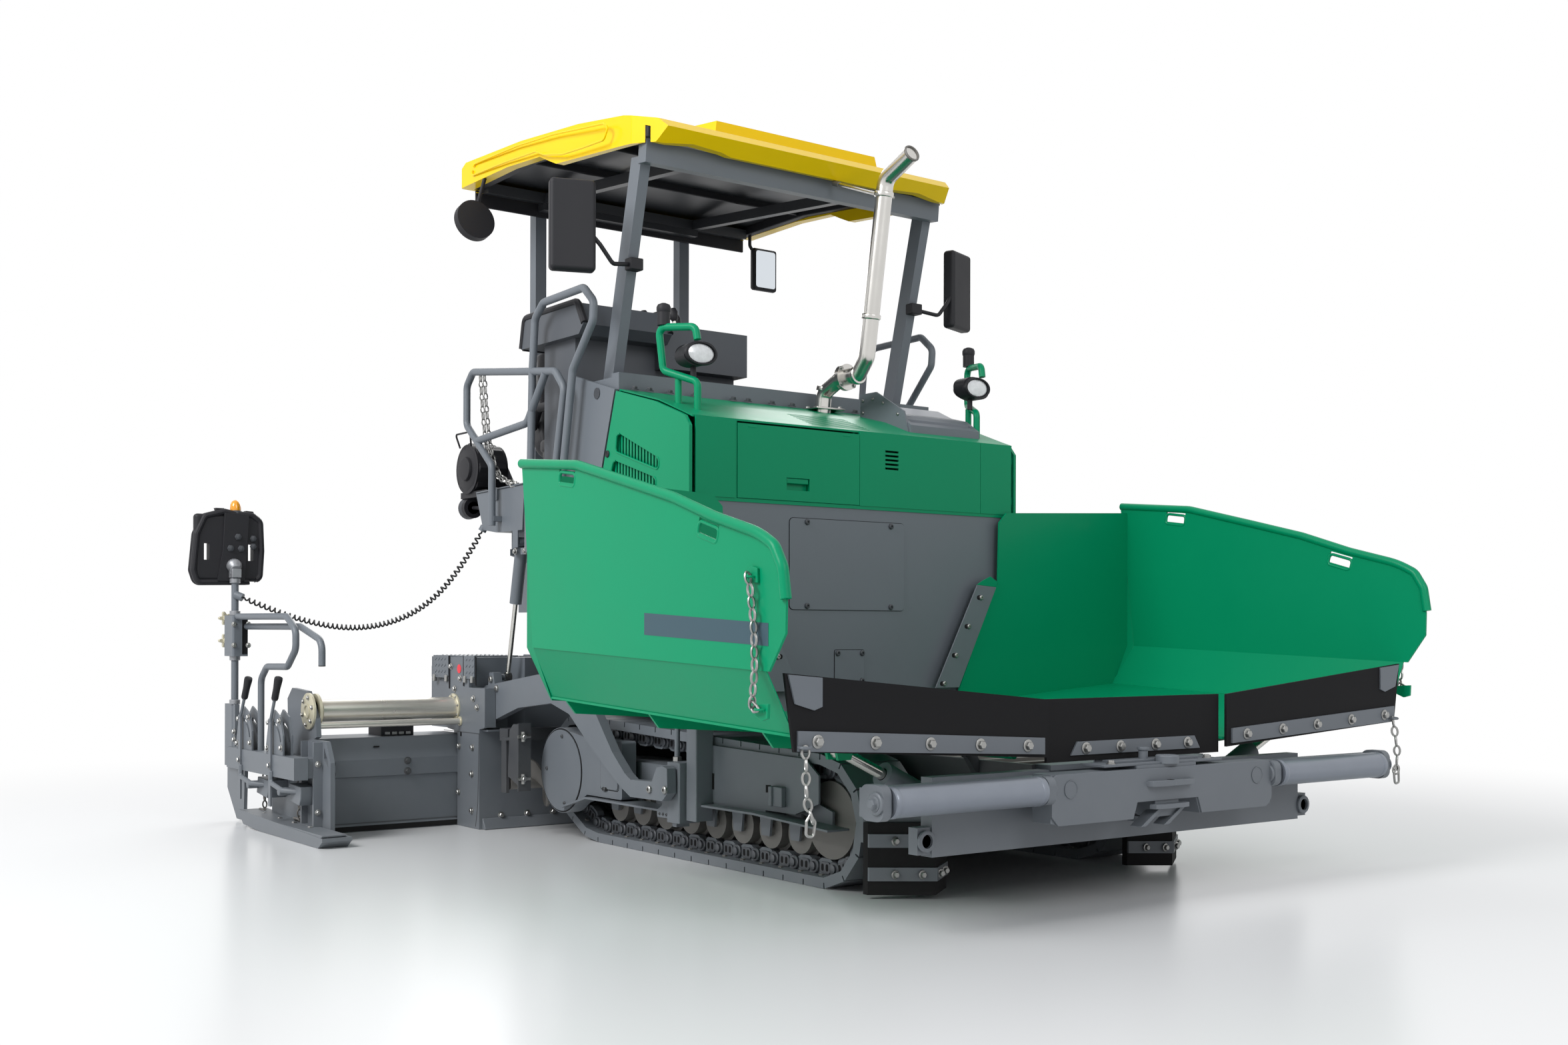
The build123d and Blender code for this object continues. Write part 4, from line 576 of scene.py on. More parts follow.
# ---------------------------------------------------------------- hopper
class PAVER_OT_hopper(bpy.types.Operator):
    """Dress the hopper's wings: side stripe, hand-slot folds, hanging chains and seal strips"""
    bl_idname = "paver.hopper"
    bl_label = "Hopper fittings"

    def execute(self, context):
        stripe = finish("side_stripe", tuple(colours().stripe), rough=0.38, shine=0.16, tone=0.04,
                        grain=0.0001)
        clamp_y = np.array([0.56, 0.77, 0.98, 1.20, 1.42])
        for side_name, side in SIDES:
            body = "wing_" + side_name
            fit("stripe_" + side_name, [plate([(0.899, 0.899), (1.572, 0.868), (1.572, 0.934),
                                               (0.899, 0.969)], "y",
                                              1.5935, 1.5948)], stripe, body, side)
            folds = []
            for x, z, lean in ((0.390, 1.445, -0.14), (1.262, 1.220, -0.28)):
                turn = np.array([(math.cos(lean), math.sin(lean)), (-math.sin(lean), math.cos(lean))])
                hole = rounded((-0.056, 0.056), (-0.034, 0.012), 0.016) @ turn + (x, z)
                ring = np.column_stack([hole[:, 0], np.full(len(hole), 1.590), hole[:, 1]])
                folds.append(tube(np.concatenate([ring, ring[:2]]), 0.0065, 8))
            # the sheet that closes the wing's rear corner, between its rear wall and its outer walls
            corner = np.array([(0.098, 1.495, 0.667), (0.143, 1.590, 0.853), (0.098, 1.590, 1.185),
                               (0.098, 1.590, 0.852)])
            sheet = np.concatenate([corner, corner - (0, 0.003, 0)])
            folds.append((sheet, [[0, 1, 3], [3, 1, 2], [4, 7, 5], [7, 6, 5], [0, 4, 5, 1], [1, 5, 6, 2],
                                  [2, 6, 7, 3],
                                  [3, 7, 4, 0]]))
            lug = [(-0.032, -0.016), (-0.034, 0.016), (0.0, 0.030), (0.028, 0.022), (0.030, -0.020)]
            folds += [plate(np.array(lug) + (1.500, 1.070), "y", 1.593, 1.603),
                      plate(np.array(lug) * (1, -1) + (1.552, 0.683), "y", 1.593, 1.603)]
            for x, z in ((1.500, 1.068), (1.552, 0.686)):
                folds.append(tube(bent([(x - 0.016, 1.598, z), (x - 0.014, 1.622, z), (x + 0.014, 1.622, z),
                                        (x + 0.016, 1.598, z)], 0.012), 0.004, 8))
            fit("wing_folds_" + side_name, folds, green_paint(), body, side, bevel=0.002)
            line = [(1.502, 1.616, 1.064), (1.512, 1.615, 1.027), (1.525, 1.612, 0.920),
                    (1.530, 1.612, 0.800),
                    (1.520, 1.614, 0.706)]
            hook = tube(bent([(1.520, 1.616, 0.712), (1.508, 1.616, 0.700), (1.530, 1.616, 0.678),
                              (1.560, 1.616, 0.684),
                              (1.545, 1.616, 0.698), (1.522, 1.616, 0.710)], 0.008), 0.0042, 8)
            fit("wing_chain_" + side_name, [chain(line), hook], zinc(), body, side)
            strip = plate([(0.363, 0.672), (0.500, 0.672), (0.722, 1.112), (0.606, 1.120)], "x", 0.1005,
                          0.1065)
            tab = plate([(0.606, 1.121), (0.722, 1.113), (0.735, 1.135), (0.688, 1.160), (0.640, 1.140)],
                        "x", 0.1005,
                        0.1045)
            fit("seal_strip_" + side_name, [strip], grey_paint(), body, side, bevel=0.0015)
            fit("seal_tab_" + side_name, [tab], green_paint(), body, side, bevel=0.001)
            at = np.array([(0.1066, 0.624, 1.065), (0.1066, 0.551, 0.938), (0.1066, 0.477, 0.812),
                           (0.1066, 0.408, 0.690)])
            slots = [plate(rounded((y - 0.020, y + 0.020), (z - 0.010, z + 0.010), 0.0095), "x", 0.1064,
                           0.1070)
                     for _, y, z in at]
            fit("seal_slots_" + side_name, slots, rubber(), body, side)
            clamp = np.column_stack([np.full(5, 1.578), clamp_y, 0.539 + (clamp_y - 0.48) * 0.0525])
            fit("wing_bolts_" + side_name, [stamped(hex_bolt((1, 0, 0)), clamp),
                                            stamped(socket_bolt((1, 0, 0)), at + (0.0004, 0.004, 0))],
                                            zinc(), body, side)
            hang = [(1.586, 1.470, 0.560), (1.594, 1.474, 0.500), (1.600, 1.478, 0.430),
                    (1.604, 1.462, 0.372)]
            clip = tube(bent([(1.604, 1.466, 0.380), (1.604, 1.448, 0.360), (1.604, 1.455, 0.315),
                              (1.604, 1.482, 0.320),
                              (1.604, 1.480, 0.362), (1.604, 1.464, 0.382)], 0.010), 0.0045, 8)
            fit("corner_chain_" + side_name, [chain(hang), clip], zinc(), body, side)
            eye = tube(bent([(1.574, 1.455, 0.575), (1.600, 1.455, 0.573), (1.600, 1.487, 0.573),
                             (1.574, 1.487, 0.575)],
                            0.014), 0.005, 8)
            fit("corner_eye_" + side_name, [eye], grey_paint(), body, side)
        return {"FINISHED"}


class PAVER_OT_push_beam(bpy.types.Operator):
    """Shape the push beam's front plate with its plugs, the tow jaw, the pivot's covers and the roller ends"""
    bl_idname = "paver.push_beam"
    bl_label = "Push beam fittings"

    def execute(self, context):
        centre = [(1.552, y, 0.522) for y in (-0.26, -0.09, 0.09, 0.26)]
        fit("skirt_bolts", [stamped(hex_bolt((1, 0, 0)), centre)], zinc(), "root")
        turn = np.linspace(0, np.pi / 2, 7)
        arc = np.column_stack([np.cos(turn), np.sin(turn)])
        half = np.concatenate([(0.530, 0.425) + arc * (0.030, 0.030), [(0.155, 0.455)]])
        low = [(0.155, 0.345), (0.175, 0.290), (0.530, 0.290), (0.560, 0.320)]
        outline = np.concatenate([half, (half * (-1, 1))[::-1], (np.array(low) * (-1, 1))[::-1], low])
        skin = [plate(outline, "x", 1.679, 1.687)]
        skin += [lathe([(0, 0.030), (0.003, 0.030), (0.004, 0.028), (0.001, 0.027), (0.002, 0.002)],
                       (1.687, y, 0.405),
                       (1, 0, 0), 32) for y in (-0.475, 0.475)]
        skin += [brick((1.575, 1.672), (-0.300, 0.300), (0.4655, 0.474)),
                 brick((1.580, 1.640), (-0.210, 0.210),
                                                                              (0.474, 0.482)),
                 lathe([(0, 0.040), (0.026, 0.040), (0.029, 0.037), (0.029, 0.012), (0.020, 0.011)],
                       (1.664, 0.020, 0.466),
                       (0, 0, 1), 28),
                 lathe([(0, 0.016), (0.030, 0.016), (0.031, 0.021), (0.040, 0.021), (0.042, 0.013)],
                       (1.610, -0.040, 0.480),
                       (0, 0, 1), 20)]
        jaw = [(1.684, -0.110), (1.708, -0.100), (1.7165, -0.060), (1.7165, 0.060), (1.708, 0.110),
               (1.684, 0.115)]
        skin += [plate(jaw, "z", 0.3945, 0.4135), plate(np.array(jaw) * (1, 0.8) - (0.004, 0), "z", 0.318,
                                                                          0.334)]
        skin += [plate([(y0, 0.325), (y0 + 0.022, 0.325), (y0 - 0.075, 0.262), (y0 - 0.100, 0.262)], "x",
                       1.640, 1.690)
                 for y0 in (-0.040, 0.075)]
        jaw_hole = lathe([(0, 0.0132), (0.0006, 0.0132)], (1.697, 0, 0.4133), (0, 0, 1), 24)
        fit("push_beam_skin", skin, grey_paint(), "push_beam", bevel=0.004)
        heads = [(1.650, y, 0.474) for y in (-0.245, 0.245)]
        fit("beam_bolts", [stamped(hex_bolt((0, 0, 1), 0.020), heads)], zinc(), "push_beam")
        fit("tow_hole", [jaw_hole], rubber(), "push_beam")
        for side_name, side in SIDES:
            ends = []
            for y, way in ((1.2725, 1), (0.5575, -1)):
                ends.append(lathe([(0, 0.034), (0.006, 0.034), (0.009, 0.030), (0.009, 0.017),
                                   (0.015, 0.015)],
                                  (ROLLER_X, y, ROLLER_Z), (0, way, 0)))
            ends.append(shifted(hex_bolt((0, 1, 0), 0.030), (ROLLER_X, 1.280, ROLLER_Z)))
            fit("roller_caps_" + side_name, ends, grey_paint(), "push_beam", side)
            collar = [lathe([(0, 0.0478), (0.004, 0.0492), (0.016, 0.0492), (0.020, 0.0478)],
                            (ROLLER_X, y, ROLLER_Z), (0, 1, 0))
                      for y in (0.606, 1.208)]
            fit("roller_collars_" + side_name, collar, roller_steel(), "push_roller_" + side_name,
                side)
            lash = lathe([(0, 0.034), (0.008, 0.034), (0.010, 0.030), (0.010, 0.022), (0.0, 0.0215)],
                         (1.5305, 0.957, 0.258),
                         (1, 0, 0))
            fit("lashing_ring_" + side_name, [lash], grey_paint(), "root", side)
        return {"FINISHED"}


class PAVER_OT_wall(bpy.types.Operator):
    """Draw the two covers' gaps on the hopper's rear wall, with their corner bolts"""
    bl_idname = "paver.wall"
    bl_label = "Rear wall covers"

    def execute(self, context):
        gaps = [seam((-0.3925, 0.2225), (1.0005, 1.3765), 0.020, 0.0050, "x", 0.0600, 0.0612),
                seam((-0.1585, 0.0035), (0.6915, 0.8395), 0.010, 0.0045, "x", 0.0600, 0.0612)]
        fit("cover_gaps", gaps, rubber(), "root")
        at = [(0.064, y, z) for y in (-0.303, 0.144) for z in (1.018, 1.360)]
        at += [(0.064, y, z) for y in (-0.142, -0.012) for z in (0.708, 0.824)]
        fit("cover_bolts", [stamped(socket_bolt((1, 0, 0), 0.020), at)], dark_paint(), "root")
        return {"FINISHED"}


# ---------------------------------------------------------------- hood
class PAVER_OT_hood(bpy.types.Operator):
    """Fit the hood's handle, locks, rear studs, exhaust flange and stay, and the cowl's blades"""
    bl_idname = "paver.hood"
    bl_label = "Hood fittings"

    def execute(self, context):
        lip = plate([(-0.406, 1.512), (-0.296, 1.512), (-0.296, 1.534), (-0.406, 1.534)], "x", 0.0560,
                    0.0635)
        fit("flap_handle", [lip], green_paint(), "hood_flap", bevel=0.003)
        studs = [(-0.470, y, 1.9195) for y in (-0.80, -0.727, -0.626, -0.50, -0.30, -0.221, -0.092, 0.02,
                                               0.26, 0.38, 0.50,
                                               0.626, 0.727, 0.80)]
        fit("hood_studs", [stamped(hex_bolt((0.25, 0, 1), 0.022), studs)], dark_paint(), "root")
        blades = []
        for i in range(3):
            x, z = -0.028 - 0.082 * i, 1.803 + 0.040 * i
            blades.append(plate([(x, z), (x - 0.100, z + 0.047), (x - 0.101, z + 0.053),
                                 (x + 0.002, z + 0.006)], "y",
                                0.334, 0.732))
        aluminium = finish("cowl_blades", srgb(168, 171, 178), rough=0.36, metal=0.2, tone=0.04,
                           grain=0.0002)
        fit("cowl_blades", blades, aluminium, "root", bevel=0.001)
        rivets = [(x, 0.3215, z) for x, z in ((-0.34, 1.955), (-0.27, 1.955), (-0.20, 1.930),
                                              (-0.10, 1.870), (-0.34, 1.90))]
        fit("cowl_rivets", [stamped(socket_bolt((0, -1, 0), 0.012), rivets)], zinc(), "root")
        flange = [lathe([(0, 0.050), (0.003, 0.058), (0.0125, 0.058), (0.0125, 0.046)],
                        (-0.2510, 0.150, 2.0334), (s, 0, 0), 32)
                  for s in (-1, 1)]
        ring = [lathe([(0, 0.040), (0.004, 0.0425), (0.018, 0.0425), (0.022, 0.040)], place, way, 28)
                for place, way in (((-0.398, 0.150, 1.990), (0.25, 0, 1)),
                                   ((-0.178, 0.150, 2.034), (1, 0, 0)),
                                   ((-0.080, 0.150, 2.262), (0.166, 0, 1)),
                                   ((0.004, 0.150, 2.772), (0.166, 0, 1)))]
        foot = plate([(-0.470, 0.075), (-0.360, 0.075), (-0.360, 0.235), (-0.470, 0.235)], "z", 1.9050,
                     1.9130)
        fit("exhaust_flange", flange + ring + [foot], stainless(), "root", bevel=0.0015)
        a = np.arange(4) * np.pi / 2 + np.pi / 4
        ring_at = np.column_stack([np.full(4, -0.2385), 0.150 + 0.050 * np.cos(a),
                                   2.0334 + 0.050 * np.sin(a)])
        clamp = tube([(0.012, 0.100, 2.776), (0.012, 0.200, 2.776)], 0.007, 8)
        fit("exhaust_bolts", [stamped(hex_bolt((1, 0, 0), 0.014), ring_at), clamp,
                              stamped(hex_bolt((0, 0, 1), 0.016),
                                      [(-0.455, 0.095, 1.913), (-0.375, 0.215, 1.913)])],
            zinc(), "root")
        spring = tube(bent([(-0.300, 0.150, 2.893), (-0.318, 0.150, 2.900), (-0.340, 0.150, 2.908)], 0.01),
                      0.012, 10)
        mouth = lathe([(0, 0.0365), (0.006, 0.0385), (0.010, 0.0365), (0.010, 0.031), (-0.05, 0.031)],
                      (0.181, 0.150, 2.9143),
                      (0.92, 0, 0.385), 28)
        fit("exhaust_end", [spring, mouth], worn_steel(), "root")
        for side_name, side in SIDES:
            door = "side_door_" + side_name
            lock = lathe([(0, 0.015), (0.004, 0.015), (0.006, 0.012), (0.003, 0.006)],
                         (-0.552, 0.8802, 1.652), (0, 1, 0))
            fit("door_lock_" + side_name, [lock], black_plastic(), door, side)
            wing_lock = lathe([(0, 0.024), (0.003, 0.024), (0.004, 0.020), (0.0015, 0.012)],
                              (-0.640, 0.8803, 1.915),
                              (0, 1, 0))
            fit("panel_lock_" + side_name, [wing_lock], dark_paint(), "root", side)
            rims = []
            for vent in (((-0.480, 1.738), (-0.150, 1.600), (-0.150, 1.552), (-0.492, 1.656)),
                         ((-0.506, 1.624), (-0.172, 1.524), (-0.172, 1.482), (-0.545, 1.540))):
                corners = np.array(vent)
                middle = corners.mean(axis=0)
                ring_line = [(x, 0.8795, z) for x,
                             z in np.concatenate([corners, corners[:2]]) * 0.985 + middle * 0.015]
                rims.append(tube(bent(ring_line, 0.020)[1:-1], 0.0045, 8))
            fit("vent_rims_" + side_name, rims, green_paint(), door, side)
        return {"FINISHED"}


class PAVER_OT_lamps(bpy.types.Operator):
    """Glaze the two work lamps and cap the beacon sockets"""
    bl_idname = "paver.lamps"
    bl_label = "Lamps"

    def execute(self, context):
        glass = lamp_glass()
        stretch = np.array((1.0, 1.62, 1.0))
        for side_name, side in SIDES:
            place = np.array((-0.0535, 0.749, 2.017))
            bowl, faces = lathe([(0.000, 0.040), (0.006, 0.037), (0.010, 0.028), (0.013, 0.014),
                                 (0.014, 0.002)], (0, 0, 0),
                                (1, 0, 0), 32)
            fit("lamp_lens_" + side_name, [(bowl * stretch + place, faces)], glass, "root",
                side)
            rim, faces = lathe([(-0.012, 0.047), (0.004, 0.0485), (0.012, 0.046), (0.013, 0.041),
                                (0.002, 0.040)], (0, 0, 0),
                               (1, 0, 0), 36)
            back, back_faces = lathe([(-0.070, 0.046), (-0.092, 0.036), (-0.104, 0.018), (-0.106, 0.002)],
                                     (0, 0, 0),
                                     (1, 0, 0), 32)
            cap = lathe([(0.0, 0.027), (0.006, 0.029), (0.020, 0.029), (0.030, 0.024), (0.036, 0.010),
                         (0.037, 0.001)],
                        (-0.195, 0.832, 2.193), (0, 0, 1))
            fit("lamp_rims_" + side_name, [(rim * stretch + place, faces),
                                           (back * stretch + place, back_faces), cap],
                black_plastic(), "root", side)
        return {"FINISHED"}


# ---------------------------------------------------------------- roof and platform
class PAVER_OT_roof(bpy.types.Operator):
    """Trim the roof: pressed side panels, ribs under the lining, and the striped strip below its rear edge"""
    bl_idname = "paver.roof"
    bl_label = "Roof trims"

    def execute(self, context):
        panel = [(-1.867, 3.108), (-1.827, 3.158), (-1.381, 3.138), (-1.034, 3.106), (-0.604, 3.045),
                 (-0.564, 3.022),
                 (-0.600, 2.975), (-0.773, 2.985), (-0.960, 3.000), (-1.127, 3.038), (-1.203, 3.070),
                 (-1.509, 3.092)]
        line = [(x, 0.8745, z) for x, z in panel]
        rim = tube(bent(line + line[:2], 0.03)[1:-1], 0.0045, 8)
        for side_name, side in SIDES:
            fit("roof_panel_" + side_name, [rim], roof_yellow(), "root", side)
        x = np.array([-1.955, -1.381, -0.869, -0.500, -0.350])
        top = np.array([3.119, 3.119, 3.071, 3.016, 2.985])
        border = [plate(np.concatenate([np.column_stack([x, top]),
                                        np.column_stack([x, top - 0.045])[::-1]]), "y", y0, y1)
                  for y0, y1 in ((-0.812, -0.770), (0.770, 0.812))]
        border += [brick((-1.440, -1.425), (-0.775, 0.775), (3.085, 3.122)),
                   brick((-0.900, -0.885), (-0.775, 0.775),
                                                                                 (3.040, 3.076))]
        fit("lining_border", border, black_plastic(), "root", bevel=0.004)
        line = [tube([(-1.41, -0.30, 3.100), (-0.90, -0.30, 3.052)], 0.006, 8)]
        fit("lining_line", line, roof_yellow(), "root")
        board = brick((-1.975, -1.962), (-0.80, 0.80), (2.996, 3.075))
        fit("rear_board", [board], black_plastic(), "root", bevel=0.003)
        line = brick((-1.962, -1.959), (-0.80, 0.80), (3.060, 3.064))
        fit("rear_board_line", [line], roof_yellow(), "root")
        return {"FINISHED"}


def cushion(x, y, z, puff=0.018, seams=3):
    """Upholstered pad: a rounded box |u|^p + |v|^p + |w|^p = 1, swollen where sin is high between its seams."""
    u = np.linspace(-np.pi / 2, np.pi / 2, 25)[:, None]
    v = np.linspace(-np.pi, np.pi, 72, endpoint=False)[None, :]

    def bowed(value, power):
        return np.sign(value) * np.abs(value) ** power
    half = [(b - a) / 2 for a, b in (x, y, z)]
    a = bowed(np.cos(u), 0.32) * bowed(np.cos(v), 0.34)
    b = bowed(np.cos(u), 0.32) * bowed(np.sin(v), 0.34)
    c = bowed(np.sin(u), 0.42) + 0 * v
    swell = 1 + puff / half[2] * np.abs(np.sin(np.pi * seams * (b + 1) / 2)) ** 0.5 * (c > 0.3)
    grid = np.stack([a * half[0], b * half[1], c * half[2] * swell], -1)
    middle = [(p + q) / 2 for p, q in (x, y, z)]
    faces = grid_faces(25, 72, wrap_columns=True) + [list(range(72))[::-1], list(range(24 * 72, 25 * 72))]
    return grid.reshape(-1, 3) + middle, faces


def leaned(part, pivot, angle):
    """A part turned about a line across the machine through a pivot given as (x, z)."""
    verts, faces = part
    c, s = math.cos(angle), math.sin(angle)
    rel = np.asarray(verts) - (pivot[0], 0, pivot[1])
    turned = np.column_stack([c * rel[:, 0] + s * rel[:, 2], rel[:, 1], c * rel[:, 2] - s * rel[:, 0]])
    return turned + (pivot[0], 0, pivot[1]), faces


class PAVER_OT_seats(bpy.types.Operator):
    """Upholster the two seats: swollen squab, back and side bolsters over a bellows and its box"""
    bl_idname = "paver.seats"
    bl_label = "Seats"

    def execute(self, context):
        leather = finish("seat_leather", srgb(44, 44, 47), rough=0.52, tone=0.1, grain=0.0012,
                         grain_scale=260, coat=0.05)
        for side_name, side in SIDES:
            y = SEAT_Y
            squab = cushion((-1.700, -1.215), (y - 0.205, y + 0.205), (1.725, 1.815))
            back = leaned(cushion((-1.79, -1.67), (y - 0.185, y + 0.185), (1.765, 2.292), puff=0.0),
                          (-1.70, 1.76), SEAT_LEAN)
            flutes = leaned(shifted(leaned(cushion((1.80, 2.26), (y - 0.145, y + 0.145), (-0.030, 0.030),
                                                   0.008),
                                           (0, 0), -math.pi / 2), (-1.675, 0, 0)), (-1.70, 1.76), SEAT_LEAN)
            bolsters = [cushion((-1.680, -1.235), (a, a + 0.060), (1.770, 1.838),
                                puff=0.0) for a in (y - 0.205, y + 0.145)]
            piece = fit("seat_cover_" + side_name, [squab, back, flutes] + bolsters, leather, "root",
                        side)
            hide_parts("seats")
            z = np.linspace(1.52, 1.70, 13)
            fold = np.where(np.arange(13) % 2 == 0, 0.150, 0.128)
            ring = rounded((-1, 1), (-1, 1), 0.25, 4)
            gaiter = np.concatenate([np.column_stack([-1.530 + ring[:, 0] * f * 0.95, y + ring[:, 1] * f,
                                                      np.full(16, h)])
                                     for f, h in zip(fold, z)])
            gaiter = (gaiter, grid_faces(13, 16, wrap_columns=True) + [list(range(16))[::-1],
                                                                       list(range(192, 208))])
            tray = brick((-1.705, -1.220), (y - 0.19, y + 0.19), (1.695, 1.728))
            arm = tube(bent([(-1.735, y + 0.205, 1.900), (-1.640, y + 0.225, 1.985),
                             (-1.430, y + 0.225, 1.985)], 0.04), 0.022)
            base = brick((-1.660, -1.400), (y - 0.160, y + 0.160), (1.290, 1.525))
            frame_piece = fit("seat_frame_" + side_name, [gaiter, tray, arm, base], black_plastic(),
                              "root",
                              side, bevel=0.004)
            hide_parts("seats")
            knob = lathe([(0, 0.022), (0.012, 0.026), (0.020, 0.022)], (-1.56, y + 0.19, 1.66), (0, 1, 0),
                         16)
            lever = tube([(-1.30, y + 0.14, 1.712), (-1.26, y + 0.20, 1.700)], 0.008, 8)
            fit("seat_knobs_" + side_name, [knob, lever], dark_paint(), "root", side)
        return {"FINISHED"}


class PAVER_OT_console(bpy.types.Operator):
    """Fill the console: padded hood, panel of buttons, levers and a red stop knob"""
    bl_idname = "paver.console"
    bl_label = "Console"

    def execute(self, context):
        rim = [(-1.330, 2.195), (-1.300, 2.330), (-0.820, 2.330), (-0.760, 2.230)]
        rolls = [tube(bent([(x - 0.004, y, z + 0.004) for x, z in rim], 0.03), 0.016, 10) for y in (-0.872,
                                                                                                    -0.438)]
        rolls.append(tube([(-1.298, -0.872, 2.333), (-1.298, -0.438, 2.333)], 0.016, 10))
        rolls.append(tube([(-1.326, -0.872, 2.202), (-1.326, -0.438, 2.202)], 0.013, 10))
        fit("console_pads", rolls, black_plastic(), "root")
        face = plate([(-1.3315, 2.215), (-1.3055, 2.315), (-1.3085, 2.316), (-1.3345, 2.216)], "y", -0.850,
                     -0.460)
        fit("console_panel", [face], display(), "root")
        y = np.array([-0.37, -0.33, -0.29, -0.25, -0.21, -0.17, -0.13, -0.09])
        at = np.column_stack([np.full(8, -1.2605), y, np.full(8, 2.18)])
        keys = [stamped(lathe([(0, 0.011), (0.006, 0.011), (0.008, 0.008)], (0, 0, 0), (-1, 0, 0), 12),
                        np.concatenate([at, at + (0, 0, 0.045), at - (0, 0, 0.045)]))]
        fit("console_keys", keys, key_caps(), "root")
        red = finish("stop_red", srgb(196, 24, 24), rough=0.4)
        knob = lathe([(0, 0.010), (0.014, 0.010), (0.014, 0.021), (0.022, 0.021), (0.028, 0.014)],
                     (-1.2605, -0.400, 2.20),
                     (-1, 0, 0))
        fit("console_stop", [knob], red, "root")
        levers, grips = [], []
        for x, y0 in ((-1.18, -0.30), (-1.18, -0.12), (-1.05, -0.22)):
            levers.append(tube([(x, y0, 2.284), (x - 0.02, y0, 2.370)], 0.007, 8))
            boot = lathe([(0, 0.034), (0.010, 0.033), (0.014, 0.026), (0.022, 0.025), (0.026, 0.016),
                          (0.034, 0.014)],
                         (x, y0, 2.285), (-0.2, 0, 1))
            grip = lathe([(0, 0.010), (0.012, 0.019), (0.045, 0.021), (0.062, 0.014), (0.066, 0.004)],
                         (x - 0.019, y0, 2.362),
                         (-0.22, 0, 1))
            grips += [boot, grip]
        fit("console_levers", levers, bright_steel(), "root")
        fit("console_grips", grips, black_plastic(), "root")
        return {"FINISHED"}


class PAVER_OT_platform(bpy.types.Operator):
    """Fit the platform out: tread bars, step treads, lids and latches, hanging chains and bolts"""
    bl_idname = "paver.platform"
    bl_label = "Platform fittings"

    def execute(self, context):
        x, y = np.meshgrid(np.arange(-1.98, -1.42, 0.05), np.arange(-0.36, 0.37, 0.045), indexing="ij")
        places = np.column_stack([x.ravel(), y.ravel(), np.full(x.size, 1.290)])
        places = places[(np.abs(places[:, 1]) < 0.34) & ((places[:,
                                                                 0] < -1.72) | (np.abs(places[:,
                                                                                              1]) < 0.2))]
        half = (np.arange(len(places)) % 2 == 0)
        bar = brick((-0.014, 0.014), (-0.003, 0.003), (-0.0005, 0.0022))
        across = brick((-0.003, 0.003), (-0.014, 0.014), (-0.0005, 0.0022))
        treads = [stamped(bar, places[half]), stamped(across, places[~half])]
        fit("floor_treads", treads, worn_steel(), "root")
        teeth = [brick((a - 0.005, a + 0.005), (-0.40, 0.40), (1.039, 1.047)) for a in np.arange(-2.215,
                                                                                                 -2.05,
                                                                                                 0.022)]
        fit("step_teeth", teeth, zinc(), "root")
        for side_name, side in SIDES:
            lid = [plate([(-1.7400, 1.5655), (-1.2700, 1.5765), (-1.2700, 1.5835), (-1.7430, 1.5725)], "y",
                         0.745, 0.905),
                   brick((-1.262, -0.996), (0.640, 0.906), (1.560, 1.567))]
            lid += [brick((-1.150, -1.110), (0.905, 0.911), (1.505, 1.565)),
                    brick((-1.560, -1.520), (0.897, 0.905),
                                                                                 (1.520, 1.580))]
            fit("box_lids_" + side_name, lid, grey_paint(), "root", side, bevel=0.003)
            at = [(a, 0.9005, 1.275) for a in np.linspace(-1.34, -0.95, 5)] + [(-1.20, 0.9005, 1.52),
                                                                               (-1.03, 0.9005, 1.52)]
            fit("platform_bolts_" + side_name, [stamped(hex_bolt((0, 1, 0), 0.020), at)], zinc(), "root",
                side)
            s = np.linspace(0, 1, 12)
            lines = []
            for start, end in (((-1.625, 0.938, 2.098), (-1.375, 0.905, 1.590)),
                               ((-1.585, 0.938, 2.095), (-1.360, 0.890, 1.590))):
                start, end = np.array(start), np.array(end)
                sag = np.column_stack([-0.06 * np.sin(np.pi * s), 0 * s, -0.14 * np.sin(np.pi * s)])
                lines.append(chain(start + (end - start) * s[:, None] + sag, 0.040))
            fit("gate_chains_" + side_name, lines, zinc(), "root", side)
            clip = tube(bent([(-1.375, 0.905, 1.605), (-1.395, 0.905, 1.598), (-1.385, 0.902, 1.5735),
                              (-1.355, 0.896, 1.5755),
                              (-1.350, 0.893, 1.598)], 0.008), 0.004, 8)
            fit("chain_eyes_" + side_name, [clip], bright_steel(), "root", side)
        return {"FINISHED"}


